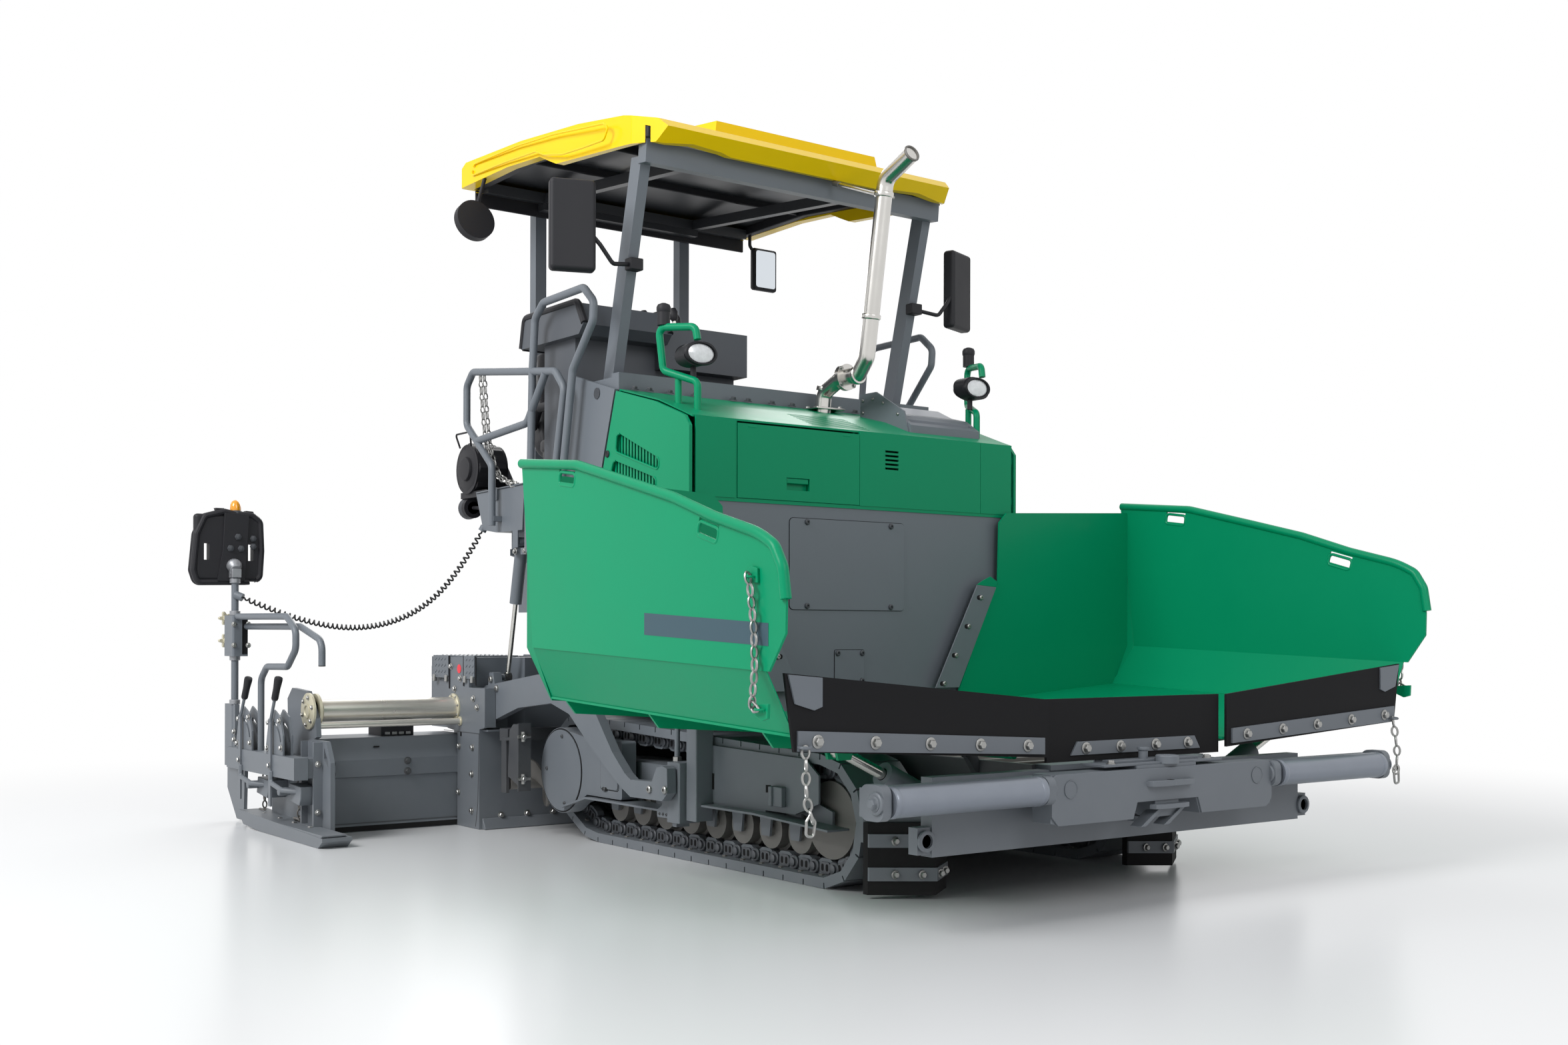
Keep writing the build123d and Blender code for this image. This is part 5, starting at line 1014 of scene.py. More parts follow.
class PAVER_OT_rear_kit(bpy.types.Operator):
    """Shape the rear kit: faceted case with its bail and guard plate, and the round lamp below"""
    bl_idname = "paver.rear_kit"
    bl_label = "Rear kit"

    def execute(self, context):
        case = lathe([(0, 0.105), (0.012, 0.128), (0.150, 0.128), (0.162, 0.105)], (-1.930, -0.862, 1.700),
                     (0, 1, 0), 8)
        hub = lathe([(0, 0.060), (0.014, 0.056), (0.016, 0.030)], (-1.930, -0.862, 1.700), (0, -1, 0), 24)
        bail = tube(bent([(-1.985, -0.870, 1.805), (-2.005, -0.885, 1.872), (-1.845, -0.885, 1.872),
                          (-1.865, -0.870, 1.805)],
                         0.012), 0.005, 8)
        guard = plate([(-2.000, 1.590), (-1.740, 1.590), (-1.760, 1.640), (-1.900, 1.800),
                       (-1.925, 1.790)], "y", -0.700,
                      -0.694)
        fit("rear_case", [case, hub, bail, guard], black_plastic(), "root", bevel=0.003)
        shell = lathe([(0.052, 0.030), (0.035, 0.048), (0.0, 0.0535), (-0.008, 0.0535), (-0.010, 0.047),
                       (-0.004, 0.045)],
                      (-2.002, -0.815, 1.515), (1, 0, 0), 32)
        fit("rear_lamp_rim", [shell], dark_paint(), "root")
        glass = lathe([(0, 0.045), (-0.008, 0.036), (-0.012, 0.018), (-0.013, 0.002)],
                      (-2.006, -0.815, 1.515), (1, 0, 0), 32)
        fit("rear_lamp_glass", [glass], lamp_glass(), "root")
        return {"FINISHED"}


class PAVER_OT_mirrors(bpy.types.Operator):
    """Set the reflecting faces in the mirrors, with the clamps of their arms"""
    bl_idname = "paver.mirrors"
    bl_label = "Mirrors"

    def execute(self, context):
        glass = finish("mirror_glass", srgb(216, 222, 228), rough=0.04, metal=1.0, tone=0.01)
        c, s = math.cos(MIRROR_TURN), math.sin(MIRROR_TURN)
        for side_name, side in SIDES:
            pane = plate(rounded((-0.075, 0.075), (-0.165, 0.165), 0.022), "x", -0.0345, -0.0318)
            verts, faces = pane
            spin = np.column_stack([c * verts[:, 0] - s * verts[:, 1], s * verts[:, 0] + c * verts[:, 1],
                                    verts[:, 2]])
            fit("mirror_glass_" + side_name, [(spin + (-0.527, 1.065, 2.572), faces)], glass, "root",
                side)
            clamp = [brick((-0.540, -0.490), (0.745, 0.808), (2.425, 2.475))]
            fit("mirror_clamp_" + side_name, clamp, black_plastic(), "root", side,
                bevel=0.004)
        lean, yaw = math.radians(78), MIRROR_TURN
        axis = np.array([math.sin(lean), 0, math.cos(lean)])
        axis = -np.array([math.cos(yaw) * axis[0], math.sin(yaw) * axis[0], axis[2]])
        disc = lathe([(0.0195, 0.086), (0.0225, 0.080), (0.024, 0.03), (0.0242, 0.002)],
                     (-1.700, -0.935, 2.850), axis, 40)
        pane = plate(rounded((0.832, 0.961), (2.800, 3.000), 0.014), "x", -1.8855, -1.8835)
        fit("rear_mirror_glass", [disc, pane], glass, "root")
        return {"FINISHED"}


# ---------------------------------------------------------------- screed
class PAVER_OT_control_panels(bpy.types.Operator):
    """Detail the two side control panels: moulded rims, keys, display, ball joint and amber lamp"""
    bl_idname = "paver.control_panels"
    bl_label = "Side control panels"

    def execute(self, context):
        amber = finish("amber_lens", srgb(238, 158, 10), rough=0.14, coat=0.8, tone=0.05)
        for side_name, side in SIDES:
            body = "screed_ext_" + side_name
            edge = [(1.668, 1.166), (1.725, 1.148), (1.965, 1.142), (1.984, 1.200), (1.968, 1.372),
                    (1.930, 1.458),
                    (1.840, 1.484), (1.800, 1.476), (1.705, 1.470), (1.666, 1.440), (1.660, 1.300)]
            rim = [tube(bent([(x, y, z) for y, z in edge + edge[:2]], 0.028)[1:-1], 0.015,
                        10) for x in (-2.566, -2.532)]
            rim.append(plate([(1.745, 1.150), (1.875, 1.150), (1.850, 1.300), (1.842, 1.478),
                              (1.725, 1.472), (1.735, 1.300)], "x",
                             -2.530, -2.512))
            rim += [plate([(1.850, 1.480), (1.870, 1.480), (1.880, 1.500), (1.838, 1.500)], "x", -2.566,
                          -2.532),
                    plate([(1.690, 1.470), (1.745, 1.472), (1.735, 1.492), (1.700, 1.490)], "x", -2.566,
                          -2.532)]
            fit("panel_rim_" + side_name, rim, black_plastic(), body, side, bevel=0.003)
            at = [(-2.5115, y, z) for y, z in ((1.779, 1.363), (1.702, 1.358), (1.815, 1.307),
                                               (1.764, 1.307), (1.702, 1.319))]
            at = np.array(at) - np.array([(0, 0, 0), (0.0135, 0, 0), (0, 0, 0), (0, 0, 0), (0.0135, 0, 0)])
            nuts = stamped(lathe([(0, 0.017), (0.004, 0.017), (0.006, 0.013), (0.012, 0.013),
                                  (0.014, 0.007)], (0, 0, 0), (1, 0, 0), 6),
                           at)
            fit("panel_nuts_" + side_name, [nuts], dark_paint(), body, side)
            y, z = np.meshgrid(np.arange(1.760, 1.895, 0.026), np.arange(1.190, 1.330, 0.028),
                               indexing="ij")
            keys = np.column_stack([np.full(y.size, -2.5722), y.ravel(), z.ravel()])
            button = lathe([(0, 0.0085), (0.004, 0.0085), (0.005, 0.006)], (0, 0, 0), (-1, 0, 0), 10)
            fit("panel_keys_" + side_name, [stamped(button, keys)], key_caps(), body, side)
            screen = plate(rounded((1.770, 1.880), (1.350, 1.430), 0.01), "x", -2.5745, -2.5720)
            fit("panel_screen_" + side_name, [screen], display(), body, side)
            dome = lathe([(0.0, 0.026), (0.012, 0.026), (0.030, 0.024), (0.044, 0.018), (0.051, 0.009),
                          (0.053, 0.001)],
                         (-2.549, 1.780, 1.490), (0, 0, 1), 28)
            fit("warning_lamp_" + side_name, [dome], amber, body, side)
            base = lathe([(0, 0.032), (0.018, 0.030), (0.022, 0.027)], (-2.549, 1.780, 1.470), (0, 0, 1),
                         28)
            ball = lathe([(-0.020, 0.016), (-0.010, 0.030), (0.004, 0.036), (0.018, 0.034), (0.030, 0.026),
                          (0.044, 0.024)],
                         (-2.508, 1.800, 1.228), (0.7, 0.05, -0.5), 20)
            clamps = [lathe([(0, 0.025), (0.022, 0.025)], (-2.490, 1.800, z0), (0, 0, 1),
                            24) for z0 in (1.182, 1.140, 0.985,
                                                                                                       0.770, 0.560)]
            clamps += [brick((-2.520, -2.462), (1.778, 1.822), (1.166, 1.208))]
            fit("panel_joint_" + side_name, [ball] + clamps,
                finish("pale_cast", srgb(150, 152, 156), rough=0.4, metal=0.5,
                                                                     tone=0.12, tone_scale=30), body,
                                                                     side,
                bevel=0.002)
            fit("lamp_base_" + side_name, [base], dark_paint(), body, side)
        return {"FINISHED"}


class PAVER_OT_end_gates(bpy.types.Operator):
    """Detail the end gates: black grips, lever feet, star knobs, chains, ski bolts and quadrant bolts"""
    bl_idname = "paver.end_gates"
    bl_label = "End gate fittings"

    def execute(self, context):
        cream = cream_zinc()
        for side_name, side in SIDES:
            body = "screed_ext_" + side_name
            grips, feet, bolts = [], [], []
            for pivot, grip_x, grip_z in ((-2.245, -2.130, 0.690), (-1.835, -1.730, 0.700)):
                top, low = np.array((grip_x, 1.854, grip_z)), np.array((pivot, 1.854, 0.505))
                way = (top - low) / np.linalg.norm(top - low)
                grips.append(tube([top - way * 0.108, top - way * 0.100, top - way * 0.05,
                                   top - way * 0.006, top + way * 0.004,
                                   top + way * 0.006], [0.012, 0.0155, 0.0155, 0.0185, 0.0175, 0.010], 16))
                feet.append(tube(bent([(pivot + 0.012, 1.854, 0.290), (pivot + 0.012, 1.854, 0.235),
                                       (pivot + 0.150, 1.852, 0.212),
                                       (pivot + 0.205, 1.800, 0.208)], 0.02), 0.0125, 6))
                feet.append(plate([(pivot + 0.105, 0.165), (pivot + 0.245, 0.150), (pivot + 0.262, 0.180),
                                   (pivot + 0.262, 0.232),
                                   (pivot + 0.120, 0.240)], "y", 1.722, 1.812))
                feet.append(lathe([(0, 0.020), (0.052, 0.020), (0.054, 0.014)],
                                  (pivot + 0.125, 1.808, 0.205), (0, 1, 0), 6))
                bolts += [(pivot - 0.052, 1.8421, 0.500), (pivot + 0.086, 1.8421, 0.512),
                          (pivot + 0.108, 1.8421, 0.395),
                          (pivot, 1.8581, 0.312), (pivot - 0.070, 1.8421, 0.385)]
            for x, z in ((-2.450, 0.430), (-2.450, 0.392)):
                bolts.append((x - 0.005, 1.812, z))
            fit("lever_grips_" + side_name, grips, black_plastic(), body, side)
            fit("lever_feet_" + side_name, feet, grey_paint(), body, side, bevel=0.003)
            ski = [(x, 1.776, 0.0505 + (-1.552 - x) * 0.012) for x in (-2.136, -1.930, -1.748, -1.552)]
            channel = [(-1.555, 1.742, 0.120), (-1.555, 1.742, 0.330)]
            heads = [stamped(hex_bolt((0, 1, 0), 0.019), bolts), stamped(hex_bolt((0, 0, 1), 0.020), ski),
                     stamped(hex_bolt((1, 0, 0), 0.018), np.array(channel) + (0.005, 0, 0))]
            for x, y, z in ((-2.430, 1.756, 0.943), (-2.430, 1.756, 0.842), (-2.430, 1.824, 0.942),
                            (-2.430, 1.824, 0.842)):
                heads.append(shifted(hex_bolt((1, 0, 0), 0.016), (x, y, z)))
            fit("gate_bolts_" + side_name, heads, zinc(), body, side)
            strip = [plate([(-2.240, 0.046), (-1.300, 0.034), (-1.252, 0.048), (-1.252, 0.056),
                            (-2.250, 0.062)], "y", 1.730, 1.838)]
            fit("ski_strip_" + side_name, strip, grey_paint(), body, side, bevel=0.002)
            hangers = [chain([(x, 1.736, 0.262), (x - 0.001, 1.738, 0.160), (x, 1.736, 0.064)],
                             0.040) for x in (-2.247, -1.790)]
            hangers += [tube(bent([(x - 0.028, 1.730, 0.052), (x - 0.028, 1.752, 0.074),
                                   (x + 0.028, 1.752, 0.074),
                                   (x + 0.028, 1.730, 0.052)], 0.01), 0.0065, 8) for x in (-2.247, -1.790)]
            fit("gate_chains_" + side_name, hangers, worn_steel(), body, side)
            a = np.linspace(0, 2 * np.pi, 60, endpoint=False)
            star = 0.026 + 0.008 * np.cos(5 * a)
            knobs = []
            for z in (0.972, 0.863):
                rim = np.column_stack([1.810 + star * np.cos(a), z + star * np.sin(a)])
                knobs += [plate(rim, "x", -2.612, -2.592),
                          lathe([(0, 0.010), (0.020, 0.012), (0.034, 0.016), (0.036, 0.010)],
                                                                 (-2.562, 1.810, z), (-1, 0, 0), 16)]
            fit("star_knobs_" + side_name, knobs, cream, body, side, bevel=0.003)
            housing = [brick((-2.563, -2.427), (1.782, 1.7845), (0.800, 0.978)),
                       brick((-2.4298, -2.4285), (1.760, 1.785),
                                                                                      (0.800, 0.978))]
            fit("clamp_seams_" + side_name, housing, rubber(), body, side)
            caps = [lathe([(0, 0.0152), (0.003, 0.0152), (0.004, 0.012), (0.001, 0.011)], place, way, 20)
                    for place, way in (((-1.455, 1.762, 0.762), (0, 0, -1)),
                                       ((-2.490, 1.800, 1.2151), (0, 0, 1)))]
            fit("tube_ends_" + side_name, caps, rubber(), body, side)
        return {"FINISHED"}


class PAVER_OT_extensions(bpy.types.Operator):
    """Detail the extending screeds: flange discs, bolts, a black strip of painted shadow under the front plate and
    the vented box
    """
    bl_idname = "paver.extensions"
    bl_label = "Extension fittings"

    def execute(self, context):
        cream = cream_zinc()
        for side_name, side in SIDES:
            body = "screed_ext_" + side_name
            gx, gz = GUIDE_X, GUIDE_Z
            disc = lathe([(0, 0.082), (0.010, 0.082), (0.012, 0.079)], (gx, 1.699, gz), (0, 1, 0), 40)
            hub = lathe([(0.010, 0.034), (0.017, 0.033), (0.018, 0.026), (0.013, 0.022)], (gx, 1.699, gz),
                        (0, 1, 0), 28)
            inner = lathe([(0, 0.078), (0.012, 0.078), (0.016, 0.062), (0.024, 0.056)], (gx, 1.678, gz),
                          (0, -1, 0), 40)
            fit("flange_disc_" + side_name, [disc, hub, inner], cream, body, side)
            a = np.arange(6) * np.pi / 3 + 0.3
            at = np.column_stack([gx + 0.062 * np.cos(a), np.full(6, 1.711), gz + 0.062 * np.sin(a)])
            band = [(-1.7320, y, z) for y in (1.250, 1.610) for z in (0.314, 0.266)]
            fit("flange_bolts_" + side_name, [stamped(hex_bolt((0, 1, 0), 0.014), at)], zinc(), body,
                side)
            fit("band_bolts_" + side_name, [stamped(hex_bolt((1, 0, 0), 0.022), band)], dark_paint(), body,
                side)
            # painted shadow: the long black strip along the foot of the front plate stands in for the shade in the
            # gap between the plate and the ground; the small strip higher up is drawn in the same black
            edge = [brick((-1.7372, -1.7350), (0.932, 1.698), (0.002, 0.026)),
                    brick((-1.7500, -1.7470), (1.380, 1.408),
                                                                                    (0.379, 0.386))]
            fit("shadow_strip_" + side_name, edge, rubber(), body, side)
            lines = [brick((-1.7392, -1.7380), (0.932, 1.698), (0.0375, 0.0405))]
            fit("edge_line_" + side_name, lines, dark_paint(), body, side)
            box_part = [brick((-1.975, -1.815), (1.190, 1.340), (0.424, 0.472)),
                        brick((-1.8155, -1.8120), (1.185, 1.345), (0.420, 0.478))]
            slots = [brick((-1.8125, -1.8105), (1.200 + 0.034 * k, 1.224 + 0.034 * k),
                           (0.432, 0.444)) for k in range(4)]
            fit("vent_box_" + side_name, box_part, black_plastic(), body, side,
                bevel=0.003)
            fit("vent_slots_" + side_name, slots, bright_steel(), body, side)
            ridges = [brick((x - 0.003, x + 0.003), (0.960, 1.660),
                            (0.2398, 0.2425)) for x in np.arange(-2.38, -2.06, 0.03)]
            fit("walk_ridges_" + side_name, ridges, dark_paint(), body, side)
        return {"FINISHED"}


class PAVER_OT_screed(bpy.types.Operator):
    """Detail the main screed: lidded boxes with latches, black panels, entry rings, bolts and red marks"""
    bl_idname = "paver.screed"
    bl_label = "Screed fittings"

    def execute(self, context):
        red = finish("red_mark", srgb(236, 58, 70), rough=0.5)
        cream = cream_zinc()
        for side_name, side in SIDES:
            lids, latches = [], []
            for y0, y1 in ((0.020, 0.170), (0.390, 0.510), (0.710, 0.985)):
                lids.append(plate([(-2.056, 0.690), (-2.056, 0.742), (-2.010, 0.797), (-1.680, 0.797),
                                   (-1.680, 0.790),
                                   (-2.005, 0.790), (-2.050, 0.735), (-2.050, 0.690)], "y", y0, y1))
                x, y = np.meshgrid(np.arange(-1.98, -1.70, 0.045), np.arange(y0 + 0.025, y1 - 0.01, 0.045),
                                   indexing="ij")
                rib = plate([(-0.012, -0.004), (0.008, 0.010), (0.012, 0.006), (-0.008, -0.008)], "z",
                            -0.0005, 0.002)
                lids.append(stamped(rib, np.column_stack([x.ravel(), y.ravel(), np.full(x.size, 0.797)])))
                for at in (y0 + 0.030, y1 - 0.030):
                    latches.append(brick((-2.070, -2.054), (at - 0.014, at + 0.014), (0.690, 0.722)))
                    latches.append(tube([(-2.066, at - 0.018, 0.706), (-2.066, at + 0.018, 0.706)], 0.007,
                                        8))
            for x0, x1 in ((-1.990, -1.825), (-1.655, -1.545)):
                lids.append(plate([(x0, 0.700), (x0 + 0.02, 0.690), (x1 - 0.02, 0.690), (x1, 0.700),
                                   (x1, 0.797), (x0, 0.797)], "y",
                                  1.0000, 1.0060))
                x, z = np.meshgrid(np.arange(x0 + 0.03, x1 - 0.01, 0.034), np.arange(0.718, 0.790, 0.030),
                                   indexing="ij")
                lids.append(stamped(plate([(-0.009, -0.003), (0.006, 0.008), (0.009, 0.005),
                                           (-0.006, -0.006)], "y", 0, 0.0018),
                                    np.column_stack([x.ravel(), np.full(x.size, 1.0060), z.ravel()])))
            latches += [brick((x - 0.012, x + 0.012), (0.998, 1.012), (0.672, 0.704)) for x in (-1.975,
                                                                                                -1.842,
                                                                                                -1.640,
                                                                                                -1.565)]
            fit("screed_lids_" + side_name, lids, grey_paint(), "screed", side, bevel=0.0015)
            fit("screed_latches_" + side_name, latches, zinc(), "screed", side, bevel=0.002)
            gaps = [brick((-1.822, -1.812), (1.0000, 1.0030), (0.640, 0.795)),
                    brick((-1.668, -1.658), (1.0000, 1.0030), (0.655, 0.795)),
                    brick((-1.540, -1.532), (1.0000, 1.0030), (0.660, 0.795)),
                    brick((-1.700, -1.686), (1.0000, 1.0015), (0.420, 0.440)),
                    brick((-2.0535, -2.0500), (0.030, 0.985), (0.460, 0.688))]
            gaps += [brick((-2.040, -1.690), (y, y + 0.001), (0.690, 0.788)) for y in (0.1795, 0.3795,
                                                                                       0.5195, 0.6995)]
            fit("screed_gaps_" + side_name, gaps, rubber(), "screed", side)
            ring = lathe([(0, 0.066), (0.008, 0.066), (0.010, 0.062), (0.010, 0.0515), (0, 0.051)],
                         (GUIDE_X, 0.9995, GUIDE_Z),
                         (0, 1, 0), 36)
            a = np.arange(8) * np.pi / 4 + 0.2
            studs = np.column_stack([GUIDE_X + 0.0585 * np.cos(a), np.full(8, 1.0095),
                                     GUIDE_Z + 0.0585 * np.sin(a)])
            bush = lathe([(0, 0.022), (0.006, 0.022), (0.007, 0.016), (0, 0.0158)],
                         (-1.702, 0.9995, 0.490), (0, 1, 0), 24)
            fit("guide_rings_" + side_name, [ring, bush], cream, "screed", side)
            sides_at = [(-1.711, 0.372), (-1.569, 0.373), (-1.715, 0.156), (-1.575, 0.080),
                        (-1.575, 0.250), (-1.700, 0.690),
                        (-1.800, 0.745), (-1.760, 0.640), (-1.560, 0.600), (-1.520, 0.560)]
            bolts = [(x, 1.000, z) for x, z in sides_at]
            fit("side_bolts_" + side_name, [stamped(hex_bolt((0, 1, 0), 0.020), bolts),
                                            stamped(socket_bolt((0, 1, 0), 0.009), studs)], zinc(),
                                            "screed", side)
            seam_plate = [plate([(-1.538, 0.010), (-1.534, 0.010), (-1.512, 0.120), (-1.500, 0.440),
                                 (-1.504, 0.440), (-1.516, 0.122)],
                                "y", 1.000, 1.0012),
                          brick((-1.880, -1.500), (1.000, 1.0012), (0.4385, 0.4415))]
            fit("side_seams_" + side_name, seam_plate, dark_paint(), "screed", side)
            dot = lathe([(0, 0.021), (0.0012, 0.021), (0.0014, 0.019)], (-1.715, 1.0002, 0.735), (0, 1, 0),
                        32)
            fit("red_mark_" + side_name, [dot], red, "screed", side)
            y = np.arange(0.08, 0.93, 0.135)
            rear = np.column_stack([np.full(len(y), -1.7325), y, np.full(len(y), 0.390)])
            front = np.column_stack([np.full(len(y), -1.4995), y, np.full(len(y), 0.060)])
            lower = [stamped(hex_bolt((-1, 0, 0), 0.020), rear), stamped(hex_bolt((1, 0, 0), 0.020), front)]
            fit("wall_bolts_" + side_name, lower, zinc(), "screed", side)
            lip = [plate([(-1.500, 0.0), (-1.470, 0.0), (-1.468, 0.006), (-1.495, 0.050), (-1.500, 0.050)],
                         "y", 0.02, 0.985)]
            fit("screed_lip_" + side_name, lip, grey_paint(), "screed", side, bevel=0.002)
            teeth = [brick((x - 0.003, x + 0.003), (0.02, 0.93),
                           (0.3298, 0.3330)) for x in np.arange(-2.46, -2.10, 0.03)]
            fit("walkway_ridges_" + side_name, teeth, dark_paint(), "screed", side)
            arm_at = [(-0.109, 0.945, 0.291), (0.004, 0.945, 0.297), (-1.432, 0.945, 0.650),
                      (-1.490, 0.945, 0.690)]
            fit("arm_bolts_" + side_name, [stamped(socket_bolt((0, 1, 0), 0.026), arm_at)], zinc(),
                "screed", side)
            seam_arm = plate([(-1.447, 0.475), (-1.443, 0.475), (-1.443, 0.662), (-1.447, 0.660)], "y",
                             0.945, 0.9462)
            fit("arm_seam_" + side_name, [seam_arm], dark_paint(), "screed", side)
        return {"FINISHED"}


# ---------------------------------------------------------------- tracks
WHEELS = ((-0.840, 0.170, 0.170), (0.772, 0.238, 0.238),
          (-0.985, 0.312, 0.232))     # x, z, radius to the shoes' faces


def track_line(count, turn=0.0):
    """Places, tangents and outward ways at equal steps round the belt that wraps the three wheels.

    Each straight run leaves wheel i at angle atan2(dz, dx) - acos((ri - rj) / d) and meets the next at the same."""
    x, z, r = np.array(WHEELS).T
    nx, nz, nr = (np.roll(v, -1) for v in (x, z, r))
    leave = np.arctan2(nz - z, nx - x) - np.arccos((r - nr) / np.hypot(nx - x, nz - z))
    meet = np.roll(leave, 1)
    leave = meet + (leave - meet) % (2 * np.pi)
    points = []
    for i in range(3):
        a = np.linspace(meet[i], leave[i], 60)
        points.append(np.column_stack([x[i] + r[i] * np.cos(a), z[i] + r[i] * np.sin(a), np.cos(a),
                                       np.sin(a)]))
    points = np.concatenate(points + [points[0][:1]])
    along = np.concatenate([[0], np.cumsum(np.hypot(*np.diff(points[:, :2], axis=0).T))])
    at = (np.arange(count) + turn) / count * along[-1]
    return np.column_stack([np.interp(at, along, points[:, k]) for k in range(4)]), along[-1]


def round_belt(part, line, depth, across):
    """A part drawn as (along, across, out), set at each place of the belt, turned to lie on it."""
    verts, faces = part
    place, out = line[:, :2], line[:, 2:] / np.linalg.norm(line[:, 2:], axis=1)[:, None]
    way = np.column_stack([-out[:, 1], out[:, 0]])
    verts = np.asarray(verts)
    flat = place[:, None] + verts[None, :, :1] * way[:, None] + (verts[None, :, 2:] - depth) * out[:, None]
    moved = np.stack([flat[..., 0], np.broadcast_to(verts[None, :, 1] + across, flat.shape[:2]),
                      flat[..., 1]], -1)
    return moved.reshape(-1, 3), [[i + k * len(verts) for i in face] for k in range(len(line)) for face in faces]


class PAVER_OT_tracks(bpy.types.Operator):
    """Dress the tracks: pin bosses and nuts at every link, slotted link plates, shoe bolts, covers' seams"""
    bl_idname = "paver.tracks"
    bl_label = "Track fittings"

    def execute(self, context):
        count = int(round(track_line(1)[1] / SHOE_PITCH))
        pins, plates_at = track_line(count)[0], track_line(count, 0.5)[0]
        link = finish("track_link", srgb(84, 88, 95), rough=0.42, metal=0.45, tone=0.18, tone_scale=30,
                      dust=0.25)
        for side_name, side in SIDES:
            belt = []
            for across, way in ((0.062 + 0.0165, 1), (0.062 - 0.0165, -1), (-0.062 + 0.0165, 1),
                                (-0.062 - 0.0165, -1)):
                boss = lathe([(-0.012, 0.027), (0.008, 0.027), (0.011, 0.024), (0.011, 0.017),
                              (0.018, 0.016), (0.020, 0.011)],
                             (0, 0, 0), (0, way, 0), 18)
                belt.append(round_belt(boss, pins, PIN_DEPTH, TRACK_Y + across))
                outline = rounded((-0.030, 0.030), (-0.020, 0.022), 0.012, 4)
                cheek = plate(outline, "y", min(0, way * 0.006), max(0, way * 0.006))
                belt.append(round_belt(cheek, plates_at, PIN_DEPTH, TRACK_Y + across))
            fit("track_links_" + side_name, belt, link, "root", side)
            hollows = []
            for shift in (-0.013, 0.013):
                hole = plate(rounded((shift - 0.007, shift + 0.007), (-0.013, 0.013), 0.0065, 4), "y",
                             0.0058, 0.0066)
                hollows.append(round_belt(hole, plates_at, PIN_DEPTH, TRACK_Y + 0.0785))
            fit("link_hollows_" + side_name, hollows, rubber(), "root", side)
            grouser = []
            for y in (-0.10, -0.03, 0.03, 0.10):
                head = lathe([(0.0, 0.011), (0.006, 0.011), (0.008, 0.008)], (0, 0, -0.0005), (0, 0, -1), 6)
                grouser.append(round_belt(head, plates_at, SHOE_DEPTH, TRACK_Y + y))
            fit("shoe_nuts_" + side_name, grouser, worn_steel(), "root", side)
            x, z, r = -0.985, 0.302, 0.1815
            a = np.linspace(0, 2 * np.pi, 72, endpoint=False)
            circle = np.column_stack([x + r * np.cos(a), np.full(72, 0.8562), z + r * np.sin(a)])
            loop = tube(np.concatenate([circle, circle[:2]]), 0.0028, 6)
            cover = [loop, seam((-0.646, -0.494), (0.244, 0.426), 0.016, 0.003, "y", 0.8555, 0.8568)]
            slots = [plate(rounded((u - 0.020, u + 0.020), (v - 0.0085, v + 0.0085), 0.008), "y", 0.8598,
                           0.8606)
                     for u, v in ((-0.613, 0.426), (-0.605, 0.248))]
            slots += [plate([(0.462, 0.316), (0.494, 0.318), (0.494, 0.346), (0.462, 0.344)], "y", 0.7958,
                            0.7970),
                      brick((0.086, 0.122), (0.7958, 0.7970), (0.300, 0.362)),
                      plate([(-0.140, 0.262), (-0.100, 0.262), (-0.100, 0.290)], "y", 0.7955, 0.7960)]
            fit("drive_seams_" + side_name, cover + slots, rubber(), "root", side)
            at = [(-0.972, 0.860, 0.451), (-0.949, 0.860, 0.160), (-1.110, 0.860, 0.302),
                  (-0.612, 0.8603, 0.426),
                  (-0.604, 0.8603, 0.248)]
            fit("drive_bolts_" + side_name, [stamped(socket_bolt((0, 1, 0), 0.014), at)], dark_paint(),
                "root",
                side)
            step_box = [brick((0.515, 0.588), (0.796, 0.818), (0.272, 0.345)),
                        brick((0.515, 0.535), (0.796, 0.826), (0.272, 0.345))]
            foot = [plate([(-0.150, 0.176), (-0.012, 0.176), (-0.012, 0.205), (-0.040, 0.225),
                           (-0.040, 0.258), (-0.115, 0.258),
                           (-0.115, 0.225), (-0.150, 0.205)], "y", 0.8780, 0.8860)]
            fit("frame_brackets_" + side_name, step_box, grey_paint(), "root", side,
                bevel=0.003)
            dots = [(x0, 0.886, 0.190) for x0 in (-0.130, -0.105, -0.080, -0.055, -0.030)]
            fit("tow_foot_" + side_name, foot, grey_paint(), "tow_carriages", side,
                bevel=0.002)
            fit("tow_dots_" + side_name, [stamped(socket_bolt((0, 1, 0), 0.010), dots)], dark_paint(),
                "tow_carriages",
                side)
            nuts = [lathe([(0, 0.019), (0.016, 0.019), (0.018, 0.014)], (-0.077, 0.838, z0), (0, 0, 1), 6)
                    for z0 in (0.157, 0.279, 0.400)]
            fit("tow_nuts_" + side_name, nuts, zinc(), "root", side)
            hinges = []
            for z0 in (0.259, 0.446):
                hinges += [tube([(-1.1175, 0.940, z0), (-1.1175, 1.000, z0)], 0.008, 8),
                           tube([(-1.116, 0.975, z0 - 0.022), (-1.116, 0.975, z0 + 0.022)], 0.009, 8),
                           shifted(hex_bolt((1, 0, 0), 0.018), (-1.110, 0.975, z0))]
            fit("shield_hinges_" + side_name, hinges, zinc(), "root", side)
            clamp_bolts = [(1.2065 - 0.7265 * abs(d), 0.610 + d, z0) for d in (-0.09, -0.03, 0.045,
                                                                               0.12) for z0 in (0.085,
                                                                                                0.199)]
            fit("deflector_bolts_" + side_name, [stamped(hex_bolt((1, 0, 0), 0.020), clamp_bolts)], zinc(),
                "root",
                side)
        return {"FINISHED"}


